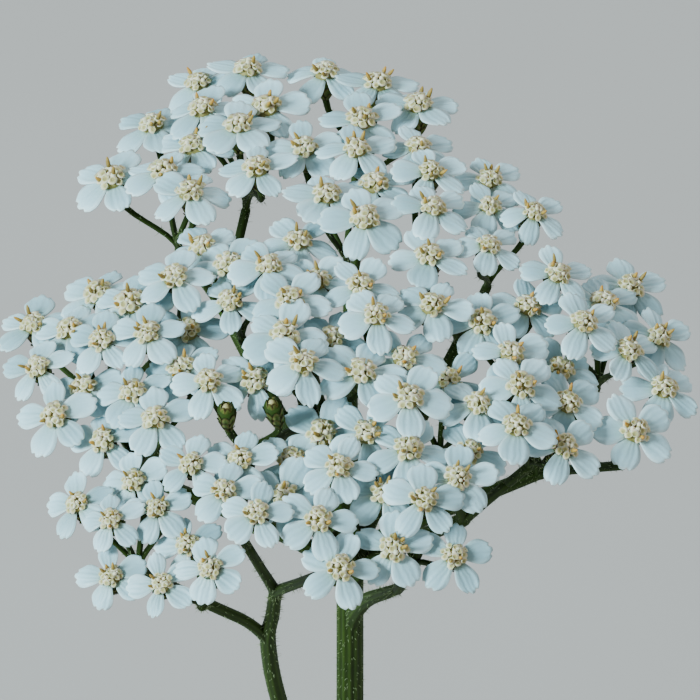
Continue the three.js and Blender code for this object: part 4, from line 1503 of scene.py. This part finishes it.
def leaflet_template(variant):
    """A leaflet from 0 to 1 along X, with lobes that turn round its own rib."""
    dice = random.Random(f"leaflet {variant}")
    placed = [(SEGMENT, stretch(1, 0.4, 0.8)), (LOBE, shift(0.76, 0, 0) @ stretch(0.26, 0.3, 0.4))]
    for k in range(LOBE_PAIRS):
        along = FIRST_LOBE_AT + LOBES_COVER * k / (LOBE_PAIRS - 1)
        length = LONGEST_LOBE * math.sin(math.pi * (0.3 + 0.58 * along)) ** 0.8
        for side in (1, -1):
            spread = side * dice.uniform(*LOBE_SPREAD)
            twist = turn_about("X", dice.uniform(-LOBE_TWIST, LOBE_TWIST))
            size = length * dice.uniform(*LOBE_SIZES)
            seat = shift(along, 0, 0) @ twist @ turn_about("Z", spread)
            placed.append((LOBE, seat @ stretch(size, size * LOBE_FULLNESS, size * LOBE_FULLNESS)))
    return gather(f"leaflet_{variant}", placed, ["tone"])


LEAFLETS = [leaflet_template(variant) for variant in range(LEAFLET_VARIANTS)]
print("leaflet triangles:", triangles(LEAFLETS[0]))

# %% [markdown]
# ### Where the leaves are
# The leaves have to lie where the solids have them, so the same rules and the same repeatable
# draws are used again. `rise` is how steeply a leaf leaves its foot and `end` how it points at its
# tip, both in degrees above level. `start` is the heading of a ring's first leaf.

# %% The rosette's leaves
OUTER_RING = {"ring": "outer", "count": 6, "radius": 13, "length": 134, "petiole": 36,
              "half_width": 15, "rise": 58, "end": -42, "start": 12}
INNER_RING = {"ring": "inner", "count": 5, "radius": 7.5, "length": 108, "petiole": 34,
              "half_width": 11.5, "rise": 76, "end": 2, "start": 40}
FIRST_ROSETTE_ITEM = 200
ROSETTE_SIZES = (0.9, 1.06)
ROSETTE_PAIRS = 28


def facing(heading):
    return np.array([math.cos(heading), math.sin(heading), 0.0])


def rosette_leaves():
    leaves = []
    for ring in (OUTER_RING, INNER_RING):
        for i in range(ring["count"]):
            item = FIRST_ROSETTE_ITEM + len(leaves)
            swing = (draw(item, 1) - 0.5) * 12
            heading = math.radians(ring["start"] + 360 / ring["count"] * i + swing)
            size = between(*ROSETTE_SIZES, item, 2)
            outward = facing(heading)
            foot = outward * ring["radius"] + UP * (SOIL_TOP + SOIL_LUMP - LEAF_FOOT_IN_SOIL)
            leaves.append({
                "name": f"rosette_leaf_{ring['ring']}_{i + 1}", "foot": foot, "heading": heading,
                "length": ring["length"] * size, "petiole": ring["petiole"],
                "half_width": ring["half_width"] * size,
                "rise": math.radians(ring["rise"] + (draw(item, 3) - 0.5) * 8),
                "end": math.radians(ring["end"] + (draw(item, 4) - 0.5) * 16),
                "roll": math.radians((draw(item, 5) - 0.5) * 30), "vee": 0.22,
                "pairs": ROSETTE_PAIRS,
            })
    return leaves


LEAVES = rosette_leaves()
print("rosette leaves:", len(LEAVES))

# %% The stem's leaves
STEM_LEAF_COUNT = 6
STEM_LEAF_FIRST = 40.0
STEM_LEAF_STEP = 17.0
STEM_LEAF_START = 205.0
STEM_LEAF_LENGTHS = (78, 46)
STEM_LEAF_HALF_WIDTHS = (9, 6)
STEM_LEAF_PAIRS = 21
STEM_LEAF_PETIOLE = 5.0
STEM_LEAF_RISE = 58
STEM_LEAF_END = -12
FIRST_STEM_LEAF_ITEM = 300


def stem_leaf(i):
    share = i / (STEM_LEAF_COUNT - 1)
    height = SOIL_TOP + STEM_LEAF_FIRST + STEM_LEAF_STEP * i
    heading = math.radians(STEM_LEAF_START) + GOLDEN_ANGLE * i
    foot_height = SOIL_TOP - STEM_DEPTH_IN_SOIL
    climb = (height - foot_height) / (DOME_TOP - FORK_BELOW_DOME - foot_height)
    seat = STEM_FOOT_RADIUS + (STEM_TOP_RADIUS - STEM_FOOT_RADIUS) * climb - 0.1
    return {
        "name": f"stem_leaf_{i + 1}", "foot": facing(heading) * seat + UP * height,
        "heading": heading, "petiole": STEM_LEAF_PETIOLE,
        "length": np.interp(share, (0, 1), STEM_LEAF_LENGTHS),
        "half_width": np.interp(share, (0, 1), STEM_LEAF_HALF_WIDTHS),
        "rise": math.radians(STEM_LEAF_RISE), "end": math.radians(STEM_LEAF_END),
        "roll": math.radians((draw(FIRST_STEM_LEAF_ITEM + i, 1) - 0.5) * 24), "vee": 0.2,
        "pairs": STEM_LEAF_PAIRS,
    }


LEAVES += [stem_leaf(i) for i in range(STEM_LEAF_COUNT)]
print("leaves in all:", len(LEAVES))

# %% [markdown]
# ### From a flat leaf to its arc
# A leaf rises from its foot, arches over and points down at its tip. It is laid out flat first,
# because that is the easy way to place its leaflets. Its slope changes evenly along its length, so
# the bent leaf lies on an arc of a circle, and one formula gives the place of any point. A bent
# curve with a modifier could do it too, but the formula also rolls the leaf and folds it to a vee.

# %% Bend a flat leaf to its arc
def bend_leaf(leaf, flat):
    along, across, lift = flat.T
    turn = (leaf["end"] - leaf["rise"]) / leaf["length"]
    angle = leaf["rise"] + turn * along
    out = (np.sin(angle) - math.sin(leaf["rise"])) / turn
    up = (math.cos(leaf["rise"]) - np.cos(angle)) / turn
    radial = facing(leaf["heading"])
    tangent = np.outer(np.cos(angle), radial) + np.outer(np.sin(angle), UP)
    level = np.broadcast_to(np.cross(UP, radial), tangent.shape)
    roll = (leaf["roll"] * along / leaf["length"])[:, None]
    side = level * np.cos(roll) + np.cross(tangent, level) * np.sin(roll)
    normal = np.cross(tangent, side)
    raised = (lift + leaf["vee"] * np.abs(across))[:, None]
    return (leaf["foot"] + np.outer(out, radial) + np.outer(up, UP) + side * across[:, None]
            + normal * raised)


flat_tip = np.array([[LEAVES[0]["length"], 0.0, 0.0]])
print("the first leaf's tip is at", np.round(bend_leaf(LEAVES[0], flat_tip), 1))

# %% [markdown]
# ### The rib and the whole leaf
# A leaf's rib is a stout stalk at its foot and a thread at its tip. It is the same cylinder that
# the stalks start from, laid along the leaf, narrowed towards the tip and flattened on its upper
# side. Pairs of leaflets then stand along it, each turned, lifted and sized a little by chance.

# %% The rib of a leaf
RIB_SIDES = 8
RIB_RINGS = 40
RIB_TONE = 0.9
RIB_TIP_WIDTH = 0.26
RIB_FOOT_EXTRA = 0.8
RIB_FLATNESS = 0.55
CHANNEL = 0.35
RIB_REACH = 0.99


def rib_mesh(leaf):
    rib = cylinder_template(RIB_SIDES, RIB_RINGS)
    set_mark(rib, "tone", np.full(len(rib.vertices), RIB_TONE))

    def lay(flat):
        share = flat[:, 2] + 0.5
        width = RIB_TIP_WIDTH + RIB_FOOT_EXTRA * (1 - share) ** 1.3
        channel = CHANNEL * np.maximum(0, flat[:, 0]) * (1 - share)
        high = flat[:, 0] * RIB_FLATNESS * width - channel * width
        return np.column_stack([share * leaf["length"] * RIB_REACH, flat[:, 1] * width, high])

    return move_points(rib, lay)


print("a rib has", RIB_SIDES, "sides and", RIB_RINGS, "rings")

# %% Build the leaves
LEAFLET_ANGLE = math.radians(64)
TIP_FOLD = 0.5
LEAFLET_REACH = (0.86, 1.08)
LEAFLET_LIFT = (-0.42, 0.16)
TIP_TURNS = (-0.3, 0.0, 0.3)
TIP_AT = 0.955
TIP_SIZE = (5, 4, 4)


def leaf_width(leaf, share):
    swell = math.sin(math.pi * share ** 0.8) ** 0.7
    return max(RIB_HALF_WIDTH * 1.6, leaf["half_width"] * swell)


leaf_triangles = 0
for leaf in LEAVES:
    dice = random.Random(leaf["name"])
    placed = [(rib_mesh(leaf), HERE)]
    blade = leaf["length"] - leaf["petiole"]
    for pair in range(leaf["pairs"]):
        share = (pair + 0.5) / leaf["pairs"]
        for side in (1, -1):
            along = leaf["petiole"] + blade * (pair + dice.uniform(0.1, 0.5)) / leaf["pairs"]
            reach = leaf_width(leaf, share) * dice.uniform(*LEAFLET_REACH)
            angle = side * (LEAFLET_ANGLE - TIP_FOLD * share ** 2 + dice.uniform(-0.12, 0.12))
            lift = turn_about("Y", dice.uniform(*LEAFLET_LIFT))
            seat = shift(along, 0, 0) @ turn_about("Z", angle) @ lift
            placed.append((dice.choice(LEAFLETS), seat @ stretch(reach * 1.1, reach, reach)))
    for turn in TIP_TURNS:
        tip = shift(leaf["length"] * TIP_AT, 0, 0) @ turn_about("Z", turn)
        placed.append((dice.choice(LEAFLETS), tip @ stretch(*TIP_SIZE)))
    mesh = gather(leaf["name"] + "_dressed", placed, ["tone"])
    move_points(mesh, lambda flat: bend_leaf(leaf, flat) * MM)
    piece(leaf["name"] + "_dressed", mesh, LEAF, [leaf["name"]])
    leaf_triangles += triangles(mesh)
print("leaves:", len(LEAVES), "triangles:", leaf_triangles)

# %% [markdown]
# ## The pot
# A clay pot is thrown on a wheel, so its profile is drawn once and spun round the axis. The edges
# of the rim are rounded by a bevel, and the three drain holes are cut with a Boolean, which is
# what a potter does with a hole cutter.

# %% Spin the pot
WALL_TOP = POT_HEIGHT - RIM_BAND
RIM_FOOT_RADIUS = POT_RIM_RADIUS - 1.5
WALL_TOP_RADIUS = RIM_FOOT_RADIUS - RIM_STEP
RIM_INNER_RADIUS = POT_RIM_RADIUS - POT_WALL
SHOULDER_RADIUS = WALL_TOP_RADIUS - POT_WALL


def inner_radius(height):
    if height > WALL_TOP:
        return SHOULDER_RADIUS + (RIM_INNER_RADIUS - SHOULDER_RADIUS) * (height - WALL_TOP) / RIM_BAND
    share = (height - POT_FLOOR) / (WALL_TOP - POT_FLOOR)
    foot = POT_BASE_RADIUS - POT_WALL
    return foot + (SHOULDER_RADIUS - foot) * share


def spun_in_metres(outline, steps):
    model = bmesh.new()
    spin_round(model, [(radius * MM, height * MM) for radius, height in outline], steps, 1e-6)
    return model


pot_outline = [
    (0, 0), (POT_BASE_RADIUS, 0), (WALL_TOP_RADIUS, WALL_TOP), (RIM_FOOT_RADIUS, WALL_TOP),
    (POT_RIM_RADIUS, POT_HEIGHT), (RIM_INNER_RADIUS, POT_HEIGHT), (SHOULDER_RADIUS, WALL_TOP),
    (inner_radius(POT_FLOOR), POT_FLOOR), (0, POT_FLOOR),
]
pot_model = spun_in_metres(pot_outline, 96)
print("pot profile points:", len(pot_outline))

# %% Round its edges
EDGE_ROUNDING = 1.1
SHARP_EDGE = math.radians(20)


def edges_sharper_than(model, angle):
    return [e for e in model.edges if len(e.link_faces) == 2 and e.calc_face_angle(0) > angle]


bmesh.ops.bevel(
    pot_model, geom=edges_sharper_than(pot_model, SHARP_EDGE), offset=EDGE_ROUNDING * MM,
    segments=3, profile=0.5, material=-1, affect="EDGES")
pot_mesh = template("pot_dressed", pot_model)
pot = piece("pot_dressed", pot_mesh, CLAY, ["pot"])
print("pot triangles without its drain holes:", triangles(pot_mesh))

# %% Cut the drain holes
cutter_model = bmesh.new()
for i in range(DRAIN_HOLES):
    angle = 2 * math.pi * i / DRAIN_HOLES + math.pi / 2
    made = bmesh.ops.create_cone(
        cutter_model, cap_ends=True, segments=32, radius1=DRAIN_RADIUS * MM,
        radius2=DRAIN_RADIUS * MM, depth=POT_FLOOR * 3 * MM)
    middle = (DRAIN_RING * math.cos(angle) * MM, DRAIN_RING * math.sin(angle) * MM, 0)
    bmesh.ops.translate(cutter_model, verts=made["verts"], vec=middle)
cutter = put_in_scene("drain_cutter", template("drain_cutter", cutter_model))
cut = pot.modifiers.new("drain", "BOOLEAN")
cut.operation = "DIFFERENCE"
cut.solver = "EXACT"
cut.object = cutter
bpy.context.view_layer.update()
finished = bpy.data.meshes.new_from_object(pot.evaluated_get(bpy.context.evaluated_depsgraph_get()))
pot.modifiers.clear()
pot.data = finished
bpy.data.objects.remove(cutter)
finished.shade_smooth()
finished.set_sharp_from_angle(angle=math.radians(40))
print("pot triangles:", triangles(finished))

# %% [markdown]
# ## The soil
# Compost has a lumpy skin and loose crumbs on top. The skin is spun like the pot and pushed up
# and down by a noise. The crumbs are small icospheres that a second noise dents, in a few sizes,
# with some pale grit and a few thin fibres among them. They are sunk nearly halfway, so that
# none of them floats.

# %% The soil's skin
SOIL_RINGS = 40
LUMP_SCALE = 0.11
LUMP_HEIGHT = 1.25
SOIL_SETTLED = 0.6


def soil_height(x, y):
    mound = SOIL_LUMP * max(0.0, 1 - (math.hypot(x, y) / inner_radius(SOIL_TOP)) ** 2)
    lumps = noise.fractal((x * LUMP_SCALE, y * LUMP_SCALE, 3.1), 0.9, 2.1, 5) * LUMP_HEIGHT
    return SOIL_TOP + mound + lumps - SOIL_SETTLED


soil_edge = inner_radius(SOIL_TOP) - 2 * GAP
soil_outline = [(0, POT_FLOOR + GAP), (inner_radius(POT_FLOOR) - 2 * GAP, POT_FLOOR + GAP),
                (inner_radius(WALL_TOP) - 2 * GAP, WALL_TOP)]
soil_outline += [(soil_edge * (1 - k / SOIL_RINGS), SOIL_TOP) for k in range(SOIL_RINGS + 1)]
soil_model = spun_in_metres(soil_outline, 120)
for vert in soil_model.verts:
    if vert.co.z > (SOIL_TOP - 0.1) * MM:
        vert.co.z = soil_height(vert.co.x / MM, vert.co.y / MM) * MM
soil_skin = template("soil_skin", soil_model)
print("soil skin triangles:", triangles(soil_skin))


# %% Crumbs and fibres
CRUMB_DENTS = 1.7
DENT_DEPTH = 0.55
CRUMB_FLATNESS = 0.75
PEARL_GRIT = 0.9
FIBRE_GRIT = 0.3
FIBRE_LEAN = 1.45


def crumb_template(variant, detail, pale):
    model, layer = marked_model("grit")
    bmesh.ops.create_icosphere(model, subdivisions=detail, radius=1.0)
    for vert in model.verts:
        dent = noise.noise(vert.co * CRUMB_DENTS + Vector((variant * 5.3, 0, 0)))
        vert.co *= 1 + DENT_DEPTH * dent
        vert.co.z *= CRUMB_FLATNESS
        vert[layer] = pale
    return template(f"crumb_{variant}", model)


def fibre_template():
    model, layer = marked_model("grit")
    bmesh.ops.create_cone(model, cap_ends=True, segments=4, radius1=0.1, radius2=0.04, depth=2.0)
    lean = Matrix.Rotation(FIBRE_LEAN, 3, "Y")
    bmesh.ops.rotate(model, verts=model.verts[:], cent=(0, 0, 0), matrix=lean)
    for vert in model.verts:
        vert[layer] = FIBRE_GRIT
    return template("fibre", model)


lumps = [crumb_template(variant, 2, 0.0) for variant in range(5)]
specks = [crumb_template(variant, 1, 0.0) for variant in range(5, 9)]
pearls = [crumb_template(variant, 2, PEARL_GRIT) for variant in range(9, 12)]
fibre = fibre_template()
print("kinds of crumbs:", len(lumps) + len(specks) + len(pearls))

# %% Strew them over the skin
STEM_CLEARANCE = 4.0
soil_parts = [(soil_skin, HERE)]
dice = random.Random("compost")
for kinds, count, smallest, largest in (
    (specks, 1500, 0.3, 0.8),
    (lumps, 190, 0.8, 1.7),
    (pearls, 34, 0.4, 0.85),
    ([fibre], 120, 0.8, 2.0),
):
    for _ in range(count):
        reach = (soil_edge - largest) * math.sqrt(dice.random())
        angle = dice.uniform(0, 2 * math.pi)
        x = reach * math.cos(angle)
        y = reach * math.sin(angle)
        size = smallest + (largest - smallest) * dice.random() ** 2
        seat = shift(x * MM, y * MM, (soil_height(x, y) + size * 0.12) * MM)
        spin = turn_about("Z", dice.uniform(0, 6)) @ turn_about("X", dice.uniform(-0.5, 0.5))
        if reach > STEM_CLEARANCE:
            soil_parts.append((dice.choice(kinds), seat @ spin @ sized(size * MM)))
soil_mesh = gather("soil_dressed", soil_parts, ["grit"])
piece("soil_dressed", soil_mesh, COMPOST, ["soil"])
print("soil triangles:", triangles(soil_mesh), "with", len(soil_parts) - 1, "crumbs")

# %% [markdown]
# ## Floor and light
# The floor is one plain pale plane. White petals need soft light with a direction, so a large
# lamp stands at the upper left, a weaker one fills in from the right, and a third one behind
# outlines the heads. The large lamp's light is the bluest, as daylight in the shade is, and the
# sky's is faintly green. A picture of a real sky would light the plant too, but it would be one
# more file to keep.

# %% The floor
FLOOR_HALF_WIDTH = 3.0
FLOOR_STOPS = [(0.3, (0.45, 0.41, 0.395)), (0.7, (0.48, 0.44, 0.425))]
floor_model = bmesh.new()
bmesh.ops.create_grid(floor_model, x_segments=1, y_segments=1, size=FLOOR_HALF_WIDTH)
floor_mesh = template("floor", floor_model)
floor = put_in_scene("floor", floor_mesh)
floor_finish, floor_net, floor_shader = new_finish("floor", 0.9)
floor_tone = ramp(floor_net, speckle(floor_net, 6.0), FLOOR_STOPS)
floor_net.links.new(floor_tone, floor_shader.inputs["Base Color"])
floor_mesh.materials.append(floor_finish)
print("floor:", 2 * FLOOR_HALF_WIDTH, "m wide")

# %% Light
SKY_COLOUR = (0.86, 0.95, 0.92, 1.0)
SKY_STRENGTH = 0.32


def lamp(name, place, aim, size, power, colour):
    data = bpy.data.lights.new(name, "AREA")
    data.shape = "DISK"
    data.size = size
    data.energy = power
    data.color = colour
    thing = put_in_scene(name, data)
    thing.location = place
    thing.rotation_euler = (Vector(aim) - Vector(place)).to_track_quat("-Z", "Y").to_euler()


cluster = (0, 0, DOME_TOP * MM)
lamp("key", (-1.15, -0.55, 1.25), cluster, size=0.5, power=54, colour=(0.72, 0.94, 1.0))
lamp("fill", (1.3, -0.9, 0.9), cluster, size=1.2, power=6, colour=(0.93, 0.97, 1.0))
lamp("rim", (0.5, 1.4, 1.1), cluster, size=0.9, power=12, colour=(0.88, 0.97, 1.0))
world = bpy.data.worlds.new("studio")
bpy.context.scene.world = world
world.use_nodes = True
sky = world.node_tree.nodes["Background"]
sky.inputs["Color"].default_value = SKY_COLOUR
sky.inputs["Strength"].default_value = SKY_STRENGTH
print("lamps:", len(bpy.data.lights))

# %% [markdown]
# ## The camera
# The camera looks down at the cluster from the angle of the picture, with a long lens, so that a
# millimetre at the cluster covers about nine pixels of the image. `VIEW_AIR` leaves a little air
# round the cluster. The camera is tilted up until its aim is `AIM_LIFT` higher, which keeps the
# tips of the leaves far below out of the frame.

# %% The camera
VIEW_AIR = 0.99
AIM_LIFT = 0.68
SENSOR_WIDTH = 36.0
toward = np.array([0.0, -math.cos(VIEW_RISE), math.sin(VIEW_RISE)])
screen_up = np.array([0.0, math.sin(VIEW_RISE), math.cos(VIEW_RISE)])
drop = (VIEW_MIDDLE_PX - DOME_TOP_PX) / PX_PER_MM
aim_point = (UP * DOME_TOP - screen_up * drop) * MM
gaze = screen_up * AIM_LIFT - toward * VIEW_DISTANCE
seen_width = 2 * VIEW_MIDDLE_PX / PX_PER_MM
camera_data = bpy.data.cameras.new("camera")
camera = put_in_scene("camera", camera_data)
camera.location = aim_point + toward * VIEW_DISTANCE * MM
camera.rotation_euler = Vector(gaze).to_track_quat("-Z", "Y").to_euler()
camera_data.sensor_width = SENSOR_WIDTH
camera_data.lens = VIEW_AIR * SENSOR_WIDTH * VIEW_DISTANCE / seen_width
camera_data.clip_start = 0.01
bpy.context.scene.camera = camera
print("lens:", round(camera_data.lens), "mm, at", [round(v, 3) for v in camera.location])
